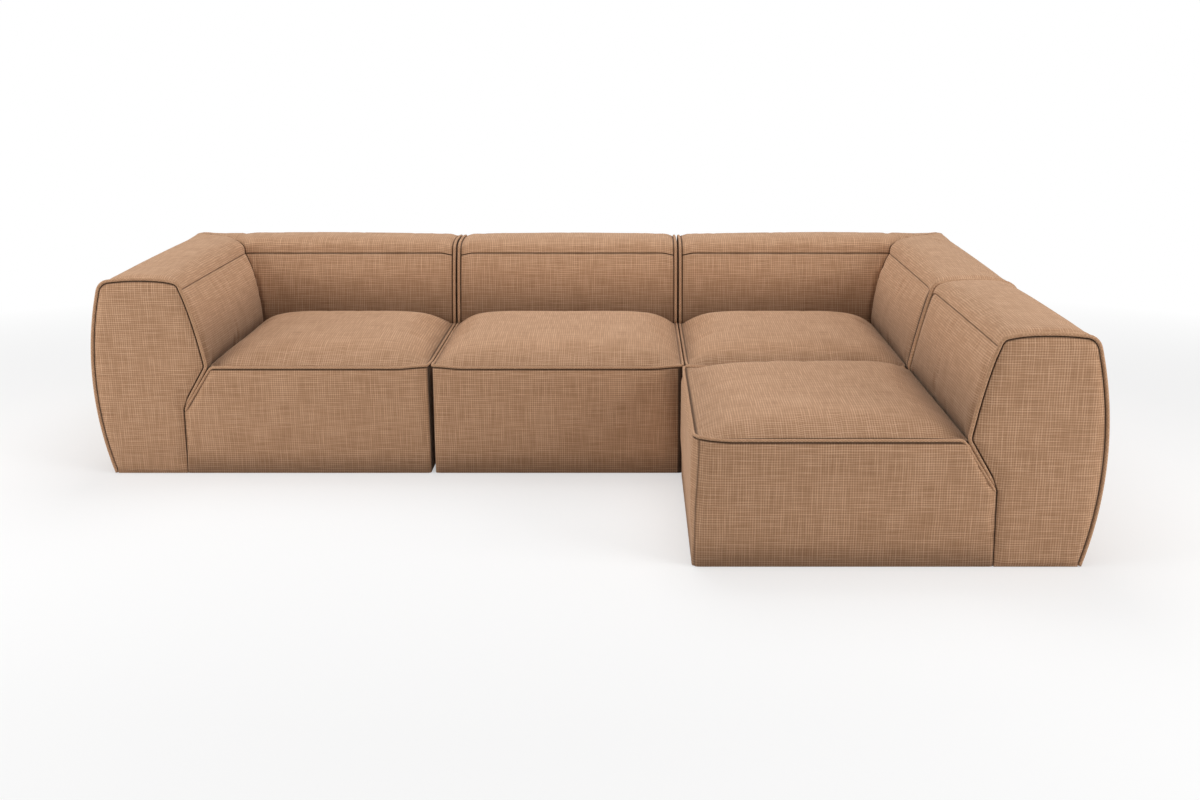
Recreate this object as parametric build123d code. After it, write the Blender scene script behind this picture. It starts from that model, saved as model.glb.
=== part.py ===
"""Sectional sofa in an L: four upholstered units, hooked side by side on steel connectors.

Two corner units (back and one arm) and two armless units make the L. Every unit has a timber
base and back frame, zigzag seat springs, foam, a sewn cover with piping, a dust cover and glides.

Frame: +Z up, +X to the right and -Y to the front, with the origin on the floor in the middle of
the sofa. A unit is drawn in its own frame first: x from its left side, y from its seat front.
"""

import math
import os

from build123d import *

# Overall sizes, in millimetres
UNIT_DEPTH = 1060.0  # seat front to outermost back, and the width of a corner unit
SEAT_UNIT_WIDTH = 800.0  # an armless unit, side to side
OVERALL_HEIGHT = 625.0

# Clearances
FIT = 0.4  # between two pieces that lie against each other
BOUNDARY_GAP = 0.3  # from a unit's piping to the plane it shares with its neighbour

# Cover
COVER = 10.0  # fabric with its wadding
PIPING_RADIUS = 5.0
FACE_INSET = 7.0  # front and side panels stand this far inside the unit's outline
HEM = 8.0  # height of the cover's lower edge

# Bolster: the cross-section that backs and arms share. Its widths run in from the outermost line
OUTER_RADIUS = 1080.0  # bulging outer face
BULGE_HEIGHT = 305.0  # where that face stands out most
TOP_RADIUS = 800.0  # crown of the top
TOP_CROWN_IN = 175.0  # where the top is highest
LEAN = 13.5  # degrees that the face behind the sitter leans back
NOSE_IN = 354.0  # lowest point of that face, where it meets the seat
NOSE_HEIGHT = 348.0
SEAM_IN = 280.0  # upright seam between bolster and seat
NOTCH_HEIGHT = 226.0  # top of that seam
OUTER_CORNER = 38.0
INNER_CORNER = 30.0
NOSE_CORNER = 22.0
END_DRAW = 8.0  # the piping draws the ends of a bolster in by this much
END_ROLL = 45.0  # length over which it does

# Seat
SEAT_EDGE = 342.0  # height of the piped edge
SEAT_PIPING_RISE = 7.2  # middle of the piping above that edge, clear of the crown
SEAT_CROWN = 66.0  # rise of the middle above the edge
CROWN_POWER = 2.3  # how square the crown is
EDGE_CROWN = 0.2  # rise along the piped edges, next to nothing
CROWN_STATIONS = (-0.94, -0.8, -0.5, 0.0, 0.5, 0.8, 0.94)  # shares of half the seat depth
CROWN_JOIN = 0.72  # share of half the seat width where the crown's arcs join
CROWN_SIDE = 0.92

# Timber
BOARD = 22.0  # thickness of rails, uprights and top boards
RAIL_BOTTOM = 14.0
RAIL_TOP = 214.0
SPRING_RAIL_HEIGHT = 94.0
OUTER_RAIL_ROOM = 8.0  # hem of a drawn-in bolster end to the base rail behind it
SEAT_SIDE_GAP = 10.0  # upright seam to the base rail beside an arm
TOP_PADDING = 63.0  # top of a bolster to its frame
FOOT_PADDING = 18.0  # upright seam to the foot of an upright
FACE_PADDING = 75.0  # leaning face to the head of an upright
FRAME_STEP = 5.0  # uprights stand this far in from the base rail's outer face
FRAME_LEAN = 10.0  # and lean in by this much to their top
OUTER_BOARD = 4.0  # fibreboard behind the outer padding
CORNER_UPRIGHT_GAP = 8.0  # arm frame to the back frame's upright beside it
LOWER_RAIL_HEIGHT = 90.0
FOAM_POCKET_GAP = 4.0  # foam to the back frame and its webbing

# Suspension
SPRING_COUNT = 5
SPRING_WIRE = 1.9  # radius
SPRING_WIDTH = 60.0
SPRING_LEG_PITCH = 32.0
CLIP_LENGTH = 24.0
CLIP_SHEET = 1.5
CLIP_DEPTH = 12.0
WEBBING_COUNT = 4
WEBBING_WIDTH = 50.0
WEBBING_SHEET = 2.0
WEBBING_MARGIN = 40.0

# Underside
DUST_COVER = 1.5
DUST_COVER_MARGIN = 2.0
GLIDE_RADIUS = 20.0
GLIDE_CHAMFER = 2.0
GLIDE_INSET = 75.0  # from the frame's outer faces

# Connectors: a tongue on one unit drops into a strapped pocket on the next
PLATE = 2.5
TONGUE_WIDTH = 30.0
TONGUE_HEIGHT = 42.0
TONGUE_CLEARANCE = 0.5
TONGUE_PLATE_HEIGHT = 56.0
STRAP = 2.0
STRAP_HEIGHT = 30.0
STRAP_LEG = 7.0
STRAP_FOOT_HEIGHT = 100.0
STEP_RISE = 4.0  # tongue's step above the strap
RECEIVER_WIDTH = 84.0
RECEIVER_HEIGHT = 60.0
CONNECTOR_PLACES = (200.0, 600.0)  # from the seat front, along the side
SCREW_RADIUS = 2.0
SCREW_HEAD_RADIUS = 4.0
SCREW_HEAD = 2.0
SCREW_LENGTH = 26.0
SCREW_SPREAD = 34.0  # receiver screws, from the middle
TONGUE_SCREW_SPREAD = 10.0
SCREW_HOLE_GAP = 0.3

# Worked out from the sizes above
BELOW = -50.0  # a height below everything, for cuts
ABOVE = OVERALL_HEIGHT + 50.0
SPAN = 3.0 * (UNIT_DEPTH + SEAT_UNIT_WIDTH)  # longer than anything here
PIPING_PROUD = 2 * PIPING_RADIUS - END_DRAW
COVER_TOP = OVERALL_HEIGHT - PIPING_PROUD
PIPING_LINE = PIPING_RADIUS + BOUNDARY_GAP  # piping centre, in from the unit's outline
FRAME_INSET = FACE_INSET + COVER + FIT
FOAM_INSET = COVER + FIT
GLIDE_HEIGHT = RAIL_BOTTOM - DUST_COVER
SPRING_HEIGHT = RAIL_TOP + CLIP_SHEET + FIT + SPRING_WIRE
FOAM_BOTTOM = SPRING_HEIGHT + SPRING_WIRE + FIT + CLIP_SHEET + FIT
SEAT_REAR = UNIT_DEPTH - SEAM_IN


# Plane geometry of the bolster: points hold (distance in, height)


def crossing(point, along, other, other_normal):
    """Where the line through point meets the line through other with that normal."""
    return point + along * ((other - point).dot(other_normal) / along.dot(other_normal))


def circles_meet(centre, radius, other, other_radius):
    """The upper meeting point of two circles that lies nearer to the outermost line."""
    apart = other - centre
    along = (radius**2 - other_radius**2 + apart.length**2) / (2 * apart.length)
    across = math.sqrt(radius**2 - along**2)
    axis = apart.normalized()
    side = Vector(-axis.Y, axis.X)
    foot = centre + axis * along
    return max(foot + side * across, foot - side * across, key=lambda p: p.Y)


def towards(centre, radius, target):
    """The point at that radius from centre, on the way to target or beyond it."""
    return centre + (target - centre).normalized() * radius


def halfway(centre, radius, start, end):
    """The middle of an arc about centre."""
    return towards(centre, radius, (start + end) * 0.5)


def bulge(height, inset=0.0):
    """How far in the bulging outer face lies at a height."""
    reach = OUTER_RADIUS - inset
    return OUTER_CENTRE.X - math.sqrt(reach**2 - (height - BULGE_HEIGHT) ** 2)


def notch_line(out, height):
    """Point at a height on the line from notch to nose, moved out towards the seat."""
    start = NOSE + NOTCH_NORMAL * out
    return crossing(start, NOTCH_ALONG, Vector(0, height), Vector(0, 1))


OUTER_CENTRE = Vector(PIPING_PROUD + OUTER_RADIUS, BULGE_HEIGHT)
TOP_CENTRE = Vector(TOP_CROWN_IN, COVER_TOP - TOP_RADIUS)
NOSE = Vector(NOSE_IN, NOSE_HEIGHT)
NOTCH = Vector(SEAM_IN, NOTCH_HEIGHT)
LEAN_ALONG = Vector(-math.sin(math.radians(LEAN)), math.cos(math.radians(LEAN)))
LEAN_NORMAL = Vector(LEAN_ALONG.Y, -LEAN_ALONG.X)
NOTCH_ALONG = (NOTCH - NOSE).normalized()
NOTCH_NORMAL = Vector(-NOTCH_ALONG.Y, NOTCH_ALONG.X)
OUTER_ROUND = circles_meet(
    OUTER_CENTRE, OUTER_RADIUS - OUTER_CORNER, TOP_CENTRE, TOP_RADIUS - OUTER_CORNER
)
LEAN_SET_BACK = NOSE - LEAN_NORMAL * INNER_CORNER
LEAN_FOOT = LEAN_SET_BACK + LEAN_ALONG * (TOP_CENTRE - LEAN_SET_BACK).dot(LEAN_ALONG)
INNER_ROUND = LEAN_FOOT + LEAN_ALONG * math.sqrt(
    (TOP_RADIUS - INNER_CORNER) ** 2 - (LEAN_FOOT - TOP_CENTRE).length ** 2
)
NOSE_ROUND = crossing(
    NOSE - LEAN_NORMAL * NOSE_CORNER, LEAN_ALONG, NOSE - NOTCH_NORMAL * NOSE_CORNER, NOTCH_NORMAL
)

# Frame lines that follow the bolster
OUTER_RAIL_IN = bulge(HEM) + END_DRAW + COVER + OUTER_RAIL_ROOM
FRAME_TOP = COVER_TOP - TOP_PADDING
FRAME_OUTER_FOOT_IN = OUTER_RAIL_IN + FRAME_STEP
FRAME_OUTER_TOP_IN = FRAME_OUTER_FOOT_IN + FRAME_LEAN
FRAME_INNER_FOOT_IN = SEAM_IN - FOOT_PADDING
FRAME_INNER_TOP_IN = (
    crossing(NOSE, LEAN_ALONG, Vector(0, FRAME_TOP), Vector(0, 1)).X - FACE_PADDING
)


def bolster_face(inset, bottom):
    """Outer face, rounded corner, top, rounded corner and leaning face of a bolster set in from
    its full size: two points for a line, three for an arc."""
    foot = Vector(bulge(bottom, inset), bottom)
    middle = Vector(bulge((bottom + OUTER_ROUND.Y) / 2, inset), (bottom + OUTER_ROUND.Y) / 2)
    outer_end = towards(OUTER_CENTRE, OUTER_RADIUS - inset, OUTER_ROUND)
    top_start = towards(TOP_CENTRE, TOP_RADIUS - inset, OUTER_ROUND)
    top_end = towards(TOP_CENTRE, TOP_RADIUS - inset, INNER_ROUND)
    lean_start = INNER_ROUND + LEAN_NORMAL * (INNER_CORNER - inset)
    lean_end = NOSE_ROUND + LEAN_NORMAL * (NOSE_CORNER - inset)
    return [
        (foot, middle, outer_end),
        (outer_end, halfway(OUTER_ROUND, OUTER_CORNER - inset, outer_end, top_start), top_start),
        (top_start, halfway(TOP_CENTRE, TOP_RADIUS - inset, top_start, top_end), top_end),
        (top_end, halfway(INNER_ROUND, INNER_CORNER - inset, top_end, lean_start), lean_start),
        (lean_start, lean_end),
    ]


def bolster_outline(inset, bottom):
    """The whole closed outline of a bolster set in from its full size."""
    runs = bolster_face(inset, bottom)
    nose_start = runs[-1][-1]
    nose_end = NOSE_ROUND + NOTCH_NORMAL * (NOSE_CORNER - inset)
    seam_in = SEAM_IN - inset
    notch = crossing(nose_end, NOTCH_ALONG, Vector(seam_in, 0), Vector(1, 0))
    seam_foot = Vector(seam_in, bottom)
    nose_middle = halfway(NOSE_ROUND, NOSE_CORNER - inset, nose_start, nose_end)
    runs += [
        (nose_start, nose_middle, nose_end),
        (nose_end, notch),
        (notch, seam_foot),
        (seam_foot, runs[0][0]),
    ]
    return runs


def edges_of(runs, place):
    """Lines and arcs through placed points: two points make a line, three an arc."""
    placed = [[place(p) for p in run] for run in runs]
    return [
        Edge.make_line(*run) if len(run) == 2 else Edge.make_three_point_arc(*run) for run in placed
    ]


def on_back(along):
    """Places bolster points on a back, at a distance along the unit's width."""
    return lambda p: Vector(along, UNIT_DEPTH - p.X, p.Y)


def on_arm(along):
    """Places bolster points on an arm at the unit's left, at a distance from the seat front."""
    return lambda p: Vector(p.X, along, p.Y)


# Solids that more than one piece uses


def box(low, high):
    """A block between two corners."""
    size = [b - a for a, b in zip(low, high)]
    return Pos(*low) * Box(*size, align=(Align.MIN, Align.MIN, Align.MIN))


def prism(points, bottom=BELOW, top=ABOVE):
    """An upright prism over a polygon in plan."""
    return extrude(Pos(0, 0, bottom) * make_face(Polyline(*points, close=True)), top - bottom)


def bolster(place, ends, shrink=0.0, bottom=HEM):
    """A bolster between two ends, each (distance along, True where piping draws it in).
    shrink sets it in all over; an end that isn't drawn in runs on past its distance."""
    (start, start_drawn), (end, end_drawn) = ends
    stations = []
    if start_drawn:
        stations += [(start + shrink, END_DRAW + shrink), (start + END_ROLL, shrink)]
    else:
        stations += [(start - shrink, shrink)]
    if end_drawn:
        stations += [(end - END_ROLL, shrink), (end - shrink, END_DRAW + shrink)]
    else:
        stations += [(end + shrink, shrink)]
    wires = [Wire(edges_of(bolster_outline(inset, bottom), place(at))) for at, inset in stations]
    return Solid.make_loft(wires, ruled=True)


def tube(path, radius):
    """A round rod along a path."""
    profile = Plane(origin=path @ 0, z_dir=path % 0) * Circle(radius)
    return sweep(profile, path=path)


def crown(share):
    """Height of the seat's crown, as a share of its middle, at a share of half the width or depth."""
    return (1 - abs(share) ** CROWN_POWER) ** (1 / CROWN_POWER)


class Unit:
    """What one unit is made of. An armless unit is as wide as stated; a corner unit is square and
    has its arm at its left."""

    def __init__(self, has_arm):
        self.has_arm = has_arm
        self.width = UNIT_DEPTH if has_arm else SEAT_UNIT_WIDTH
        self.right = self.width - FACE_INSET
        # A corner unit's back and arm run on to meet in a mitre
        self.back_ends = ((0.0, False) if has_arm else (FACE_INSET, True), (self.right, True))
        self.arm_ends = ((FACE_INSET, True), (UNIT_DEPTH, False))
        self.frame_left = OUTER_RAIL_IN if has_arm else FRAME_INSET
        self.frame_right = self.width - FRAME_INSET
        self.frame_rear = UNIT_DEPTH - OUTER_RAIL_IN
        self.seat_left = SEAM_IN + SEAT_SIDE_GAP if has_arm else FRAME_INSET

    # Mitre between the back and the arm of a corner unit

    def mitre_cut(self, keep_back):
        """What the mitre takes off: the arm's side of it, or the back's."""
        if keep_back:
            far = UNIT_DEPTH + FIT + SPAN
            return prism([(-SPAN, -SPAN), (far, -SPAN), (-SPAN, far)])
        far = UNIT_DEPTH - FIT + SPAN
        return prism([(far, -SPAN), (SPAN, SPAN), (-SPAN, far)])

    def mitred(self, shape, keep_back):
        return shape - self.mitre_cut(keep_back) if self.has_arm else shape

    # Seat

    def seat_side(self, left, shrink, bottom):
        """The seat's side in a section, from its foot to the piped edge."""
        edge = SEAT_EDGE - shrink
        if left and self.has_arm:
            out = FIT + shrink
            start = NOSE + NOTCH_NORMAL * out
            notch = crossing(start, NOTCH_ALONG, Vector(SEAM_IN + out, 0), Vector(1, 0))
            return [Vector(SEAM_IN + out, bottom), notch, notch_line(out, edge)]
        at = FACE_INSET + shrink if left else self.right - shrink
        return [Vector(at, bottom), Vector(at, edge)]

    def seat_section(self, y, rise, shrink, bottom):
        """A section across the seat, crowned by three arcs."""
        left = self.seat_side(True, shrink, bottom)
        right = self.seat_side(False, shrink, bottom)
        middle, half = (left[-1].X + right[-1].X) / 2, (right[-1].X - left[-1].X) / 2

        def top(share):
            return Vector(middle + half * share, SEAT_EDGE - shrink + rise * crown(share))

        runs = [(left[0], right[0])]
        runs += list(zip(right, right[1:]))
        runs += [
            (right[-1], top(CROWN_SIDE), top(CROWN_JOIN)),
            (top(CROWN_JOIN), top(0), top(-CROWN_JOIN)),
            (top(-CROWN_JOIN), top(-CROWN_SIDE), left[-1]),
        ]
        runs += list(zip(left[::-1], left[-2::-1]))
        return Wire(edges_of(runs, lambda p: Vector(p.X, y, p.Y)))

    def seat_block(self, shrink=0.0, bottom=HEM, rear=SEAT_REAR):
        """The crowned seat down to its foot, running back under the bolster."""
        front, back = FACE_INSET + shrink, UNIT_DEPTH - NOSE_IN - shrink
        middle, half = (front + back) / 2, (back - front) / 2
        stations = [(front, EDGE_CROWN)]
        stations += [(middle + half * t, SEAT_CROWN * crown(t)) for t in CROWN_STATIONS]
        stations += [(back, EDGE_CROWN), (rear, EDGE_CROWN)]
        wires = [self.seat_section(y, rise, shrink, bottom) for y, rise in stations]
        return Solid.make_loft(wires, ruled=True)

    def back_block(self, shrink=0.0, bottom=HEM):
        return bolster(on_back, self.back_ends, shrink, bottom)

    def arm_block(self, shrink=0.0, bottom=HEM):
        return bolster(on_arm, self.arm_ends, shrink, bottom)

    def back_in_front(self):
        """The back moved forward by the clearance that the seat keeps from it."""
        return Pos(0, -FIT, 0) * bolster(on_back, ((-SPAN, False), (SPAN, False)), 0.0, BELOW)

    def seat_cover(self):
        """Crowned top, front and side panels; open below and towards the bolsters."""
        inside = self.seat_block(COVER, BELOW, SEAT_REAR + COVER)
        cover = self.seat_block() - inside - self.back_in_front()
        if self.has_arm:
            inner = SEAM_IN + FIT + COVER
            top = NOTCH_HEIGHT - COVER
            cover -= box((SEAM_IN - COVER, FACE_INSET + COVER, BELOW), (inner + FIT, SPAN, top))
        return cover - self.screw_holes()

    def seat_foam(self):
        """One crowned block on the springs."""
        low = box((-SPAN, -SPAN, BELOW), (SPAN, SPAN, FOAM_BOTTOM))
        return self.seat_block(FOAM_INSET) - self.back_in_front() - low

    # Bolsters

    def open_front(self, place_in):
        """Takes away the wall of a bolster cover below its notch, where the frame passes."""
        low, high = SEAM_IN - COVER - END_DRAW - FIT, SEAM_IN + FIT
        top = NOTCH_HEIGHT - COVER
        if place_in == "back":
            left = FACE_INSET + COVER if not self.has_arm else -SPAN
            return box((left, UNIT_DEPTH - high, BELOW), (self.right - COVER, UNIT_DEPTH - low, top))
        return box((low, FACE_INSET + COVER, BELOW), (high, SPAN, top))

    def back_cover(self):
        shell = self.back_block() - self.back_block(COVER, BELOW) - self.open_front("back")
        return self.mitred(shell, True)

    def arm_cover(self):
        shell = self.arm_block() - self.arm_block(COVER, BELOW) - self.open_front("arm")
        return self.mitred(shell, False) - self.front_screw_holes()

    def foam_pockets(self):
        """Room for the back and arm frames inside the bolster foam."""
        gap = FOAM_POCKET_GAP
        outline = [
            (FRAME_OUTER_FOOT_IN - OUTER_BOARD - gap, BELOW),
            (FRAME_INNER_FOOT_IN + gap, BELOW),
            (FRAME_INNER_FOOT_IN + gap, RAIL_TOP),
            (FRAME_INNER_TOP_IN + gap, FRAME_TOP + gap),
            (FRAME_OUTER_FOOT_IN - OUTER_BOARD - gap, FRAME_TOP + gap),
        ]
        back = frame_prism(outline, on_back, -SPAN, SPAN)
        if not self.has_arm:
            return back
        return back + frame_prism(outline, on_arm, -SPAN, UNIT_DEPTH - FRAME_OUTER_FOOT_IN + gap)

    def back_foam(self):
        foam = self.back_block(FOAM_INSET, RAIL_TOP + FIT) - self.foam_pockets()
        return self.mitred(foam, True)

    def arm_foam(self):
        foam = self.arm_block(FOAM_INSET, RAIL_TOP + FIT) - self.foam_pockets()
        return self.mitred(foam, False)

    # Timber

    def seat_frame(self):
        """Base rails, butted at their ends."""
        left, right, rear = self.frame_left, self.frame_right, self.frame_rear
        front = FRAME_INSET
        spring_rear = SEAT_REAR
        low, top = RAIL_BOTTOM, RAIL_TOP
        rails = [
            box((left, front, low), (right, front + BOARD, top)),
            box((left, rear - BOARD, low), (right, rear, top)),
            box((right - BOARD, front + BOARD, low), (right, rear - BOARD, top)),
            box((left, front + BOARD, low), (left + BOARD, rear - BOARD, top)),
            box(
                (self.seat_left + BOARD, spring_rear - BOARD, top - SPRING_RAIL_HEIGHT),
                (right - BOARD, spring_rear, top),
            ),
        ]
        if self.has_arm:
            beside = self.seat_left
            rails.append(box((beside, front + BOARD, low), (beside + BOARD, rear - BOARD, top)))
        return [rail - self.screw_holes() for rail in rails]

    def upright(self, place, start):
        """A shaped board across a bolster, standing on the base rails."""
        outline = [
            (FRAME_OUTER_FOOT_IN, RAIL_TOP),
            (FRAME_INNER_FOOT_IN, RAIL_TOP),
            (FRAME_INNER_TOP_IN, FRAME_TOP),
            (FRAME_OUTER_TOP_IN, FRAME_TOP),
        ]
        return frame_prism(outline, place, start, start + BOARD)

    def frame_boards(self, place, start, end, outer_start, outer_end):
        """Top board, lower rail and outer fibreboard between two uprights."""
        top = [
            (FRAME_OUTER_TOP_IN, FRAME_TOP - BOARD),
            (FRAME_INNER_TOP_IN, FRAME_TOP - BOARD),
            (FRAME_INNER_TOP_IN, FRAME_TOP),
            (FRAME_OUTER_TOP_IN, FRAME_TOP),
        ]
        lower = [
            (FRAME_OUTER_TOP_IN, RAIL_TOP),
            (FRAME_OUTER_TOP_IN + BOARD, RAIL_TOP),
            (FRAME_OUTER_TOP_IN + BOARD, RAIL_TOP + LOWER_RAIL_HEIGHT),
            (FRAME_OUTER_TOP_IN, RAIL_TOP + LOWER_RAIL_HEIGHT),
        ]
        lean = Vector(FRAME_OUTER_TOP_IN - FRAME_OUTER_FOOT_IN, FRAME_TOP - RAIL_TOP).normalized()
        step = Vector(-lean.Y, lean.X) * OUTER_BOARD
        foot, head = Vector(FRAME_OUTER_FOOT_IN, RAIL_TOP), Vector(FRAME_OUTER_TOP_IN, FRAME_TOP)
        outer = [(p.X, p.Y) for p in (foot, head, head + step, foot + step)]
        return [
            frame_prism(top, place, start, end),
            frame_prism(lower, place, start, end),
            frame_prism(outer, place, outer_start, outer_end),
        ]

    def back_frame_start(self):
        """Where the back frame's first upright stands, clear of the arm frame."""
        return FRAME_INNER_FOOT_IN + CORNER_UPRIGHT_GAP if self.has_arm else FRAME_INSET

    def back_frame(self):
        start, end = self.back_frame_start(), self.frame_right
        boards = self.frame_boards(on_back, start + BOARD, end - BOARD, start, end)
        return [self.upright(on_back, start), self.upright(on_back, end - BOARD)] + boards

    def arm_frame(self):
        start, end = FRAME_INSET, UNIT_DEPTH - FRAME_OUTER_FOOT_IN
        boards = self.frame_boards(on_arm, start + BOARD, end - BOARD, start, end)
        return [self.upright(on_arm, start), self.upright(on_arm, end - BOARD)] + boards

    # Suspension

    def spring_places(self):
        """Middle of each spring, spaced evenly between the side rails."""
        left, right = self.seat_left + BOARD, self.frame_right - BOARD
        pitch = (right - left) / SPRING_COUNT
        return [left + pitch * (i + 0.5) for i in range(SPRING_COUNT)]

    def seat_springs(self):
        return [zigzag_spring(x) for x in self.spring_places()]

    def spring_clips(self):
        first, last = spring_ends()
        return [
            spring_clip(x, y, opens)
            for x in self.spring_places()
            for y, opens in ((first, 1), (last, -1))
        ]

    def back_webbing(self):
        """Elastic straps across the front of the back frame's uprights."""
        foot, head = Vector(FRAME_INNER_FOOT_IN, RAIL_TOP), Vector(FRAME_INNER_TOP_IN, FRAME_TOP)
        along = (head - foot).normalized()
        out = Vector(along.Y, -along.X) * WEBBING_SHEET
        room = (head - foot).length - 2 * WEBBING_MARGIN - WEBBING_WIDTH
        straps = []
        for i in range(WEBBING_COUNT):
            low = foot + along * (WEBBING_MARGIN + room * i / (WEBBING_COUNT - 1))
            high = low + along * WEBBING_WIDTH
            outline = [(p.X, p.Y) for p in (low, high, high + out, low + out)]
            straps.append(frame_prism(outline, on_back, self.back_frame_start(), self.frame_right))
        return straps

    # Trim and underside

    def piping(self):
        """One run along the seat's free edges and one round each open end of a bolster."""
        inset = END_DRAW - PIPING_RADIUS
        nose = UNIT_DEPTH - NOSE_IN - 2 * PIPING_RADIUS
        height = SEAT_EDGE + SEAT_PIPING_RISE
        line, right = PIPING_LINE, self.width - PIPING_LINE
        corners = [(right, nose, height), (right, line, height)]
        if self.has_arm:
            corners += [(NOSE_IN + 2 * PIPING_RADIUS, line, height)]
        else:
            corners += [(line, line, height), (line, nose, height)]
        runs = [tube(FilletPolyline(*corners, radius=2 * PIPING_RADIUS), PIPING_RADIUS)]
        places = [on_back(right), on_arm(line) if self.has_arm else on_back(line)]
        for place in places:
            path = Wire(edges_of(bolster_face(inset, HEM), place))
            runs.append(tube(path, PIPING_RADIUS))
        return runs

    def dust_cover(self):
        margin = DUST_COVER_MARGIN
        low = (self.frame_left + margin, FRAME_INSET + margin, GLIDE_HEIGHT)
        return box(low, (self.frame_right - margin, self.frame_rear - margin, RAIL_BOTTOM))

    def glides(self):
        xs = (self.frame_left + GLIDE_INSET, self.frame_right - GLIDE_INSET)
        ys = (FRAME_INSET + GLIDE_INSET, self.frame_rear - GLIDE_INSET)
        return [glide(x, y) for x in xs for y in ys]

    # Connectors. sides lists what each joined side carries

    sides = ()

    def side_place(self, side):
        """Where a joined side's plates sit: (origin on the boundary, outward, along) per place."""
        if side == "left":
            return [Plane((0, y, 0), x_dir=(-1, 0, 0), z_dir=(0, 0, 1)) for y in CONNECTOR_PLACES]
        if side == "right":
            at = self.width
            return [Plane((at, y, 0), x_dir=(1, 0, 0), z_dir=(0, 0, 1)) for y in CONNECTOR_PLACES]
        # The front of a corner unit meets an armless unit's side, measured from the open side
        xs = [self.width - place for place in CONNECTOR_PLACES]
        return [Plane((x, 0, 0), x_dir=(0, -1, 0), z_dir=(0, 0, 1)) for x in xs]

    def connectors(self):
        """Plates and their screws on every joined side."""
        pieces = []
        for side, kind in self.sides:
            for place in self.side_place(side):
                plate, screws = (tongue() if kind == "tongue" else receiver())
                pieces += [place.location * piece for piece in [plate] + screws]
        return pieces

    def holes_on(self, wanted):
        """Screw holes through the panels and rails of the sides that are wanted."""
        holes = Part()
        for side, kind in self.sides:
            if side in wanted:
                for place in self.side_place(side):
                    for hole in screw_holes(kind):
                        holes += place.location * hole
        return holes

    def screw_holes(self):
        return self.holes_on(("left", "right", "front"))

    def front_screw_holes(self):
        return self.holes_on(("front",))


def frame_prism(outline, place, start, end):
    """A board or pocket with an outline across a bolster, from start to end along it."""
    wires = [
        Wire([Edge.make_line(a, b) for a, b in zip(points, points[1:] + points[:1])])
        for points in ([place(at)(Vector(*p)) for p in outline] for at in (start, end))
    ]
    return Part() + Solid.make_loft(wires, ruled=True)


# Springs


def spring_ends():
    """First and last leg of a spring: over the front rail and over the spring rail."""
    return FRAME_INSET + BOARD / 2, SEAT_REAR - BOARD / 2


def zigzag_spring(x):
    """Wire that runs to and fro across itself from the front rail to the spring rail."""
    first, last = spring_ends()
    legs = round((last - first) / SPRING_LEG_PITCH)
    pitch = (last - first) / legs
    reach = SPRING_WIDTH / 2 - pitch / 2
    edges = []
    for i in range(legs + 1):
        y, way = first + pitch * i, 1 if i % 2 == 0 else -1
        start, end = (x - way * reach, y, SPRING_HEIGHT), (x + way * reach, y, SPRING_HEIGHT)
        edges.append(Edge.make_line(start, end))
        if i < legs:
            bend = (end[0] + way * pitch / 2, y + pitch / 2, SPRING_HEIGHT)
            edges.append(Edge.make_three_point_arc(end, bend, (end[0], y + pitch, SPRING_HEIGHT)))
    return tube(Wire(edges), SPRING_WIRE)


def spring_clip(x, y, opens):
    """Sheet steel folded over a spring's last leg; opens is +1 or -1 along y."""
    low, roof = RAIL_TOP, SPRING_HEIGHT + SPRING_WIRE + FIT
    back = y - opens * (SPRING_WIRE + FIT)
    front = back + opens * CLIP_DEPTH
    behind = back - opens * CLIP_SHEET
    outline = [
        (behind, low),
        (front, low),
        (front, low + CLIP_SHEET),
        (back, low + CLIP_SHEET),
        (back, roof),
        (front, roof),
        (front, roof + CLIP_SHEET),
        (behind, roof + CLIP_SHEET),
    ]
    start = x - CLIP_LENGTH / 2
    points = [(start, *p) for p in outline]
    return extrude(make_face(Polyline(*points, close=True)), CLIP_LENGTH, dir=(1, 0, 0))


# Underside and connectors


def glide(x, y):
    """Plastic glide, chamfered where it meets the floor."""
    foot = Cylinder(GLIDE_RADIUS, GLIDE_HEIGHT, align=(Align.CENTER, Align.CENTER, Align.MIN))
    rim = foot.faces().sort_by(Axis.Z)[0].edges()
    return Pos(x, y, 0) * chamfer(rim, GLIDE_CHAMFER)


# Connector pieces are drawn with x outwards from the boundary, y along it and z up

POCKET_FLOOR = -FACE_INSET + PLATE  # outer face of a receiver's plate
POCKET = PLATE + 2 * TONGUE_CLEARANCE
STRAP_TOP = STRAP_FOOT_HEIGHT + STRAP_HEIGHT
RECEIVER_MIDDLE = STRAP_FOOT_HEIGHT + STRAP_HEIGHT / 2
STEP_BOTTOM = STRAP_TOP + STEP_RISE
TONGUE_TOP = STEP_BOTTOM + PLATE
TONGUE_SCREW_HEIGHT = TONGUE_TOP + TONGUE_PLATE_HEIGHT / 2


def receiver():
    """Plate with a strap that makes a pocket, and its two screws."""
    half, tall = RECEIVER_WIDTH / 2, RECEIVER_HEIGHT / 2
    low, high = RECEIVER_MIDDLE - tall, RECEIVER_MIDDLE + tall
    plate = box((-FACE_INSET, -half, low), (POCKET_FLOOR, half, high))
    inner = TONGUE_WIDTH / 2 + TONGUE_CLEARANCE * 2
    outer = inner + STRAP_LEG
    strap_out = POCKET_FLOOR + POCKET + STRAP
    strap = box((POCKET_FLOOR, -outer, STRAP_FOOT_HEIGHT), (strap_out, outer, STRAP_TOP))
    pocket = box((POCKET_FLOOR, -inner, BELOW), (POCKET_FLOOR + POCKET, inner, ABOVE))
    places = [(y, RECEIVER_MIDDLE) for y in (-SCREW_SPREAD, SCREW_SPREAD)]
    return with_screws(plate + (strap - pocket), places)


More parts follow.
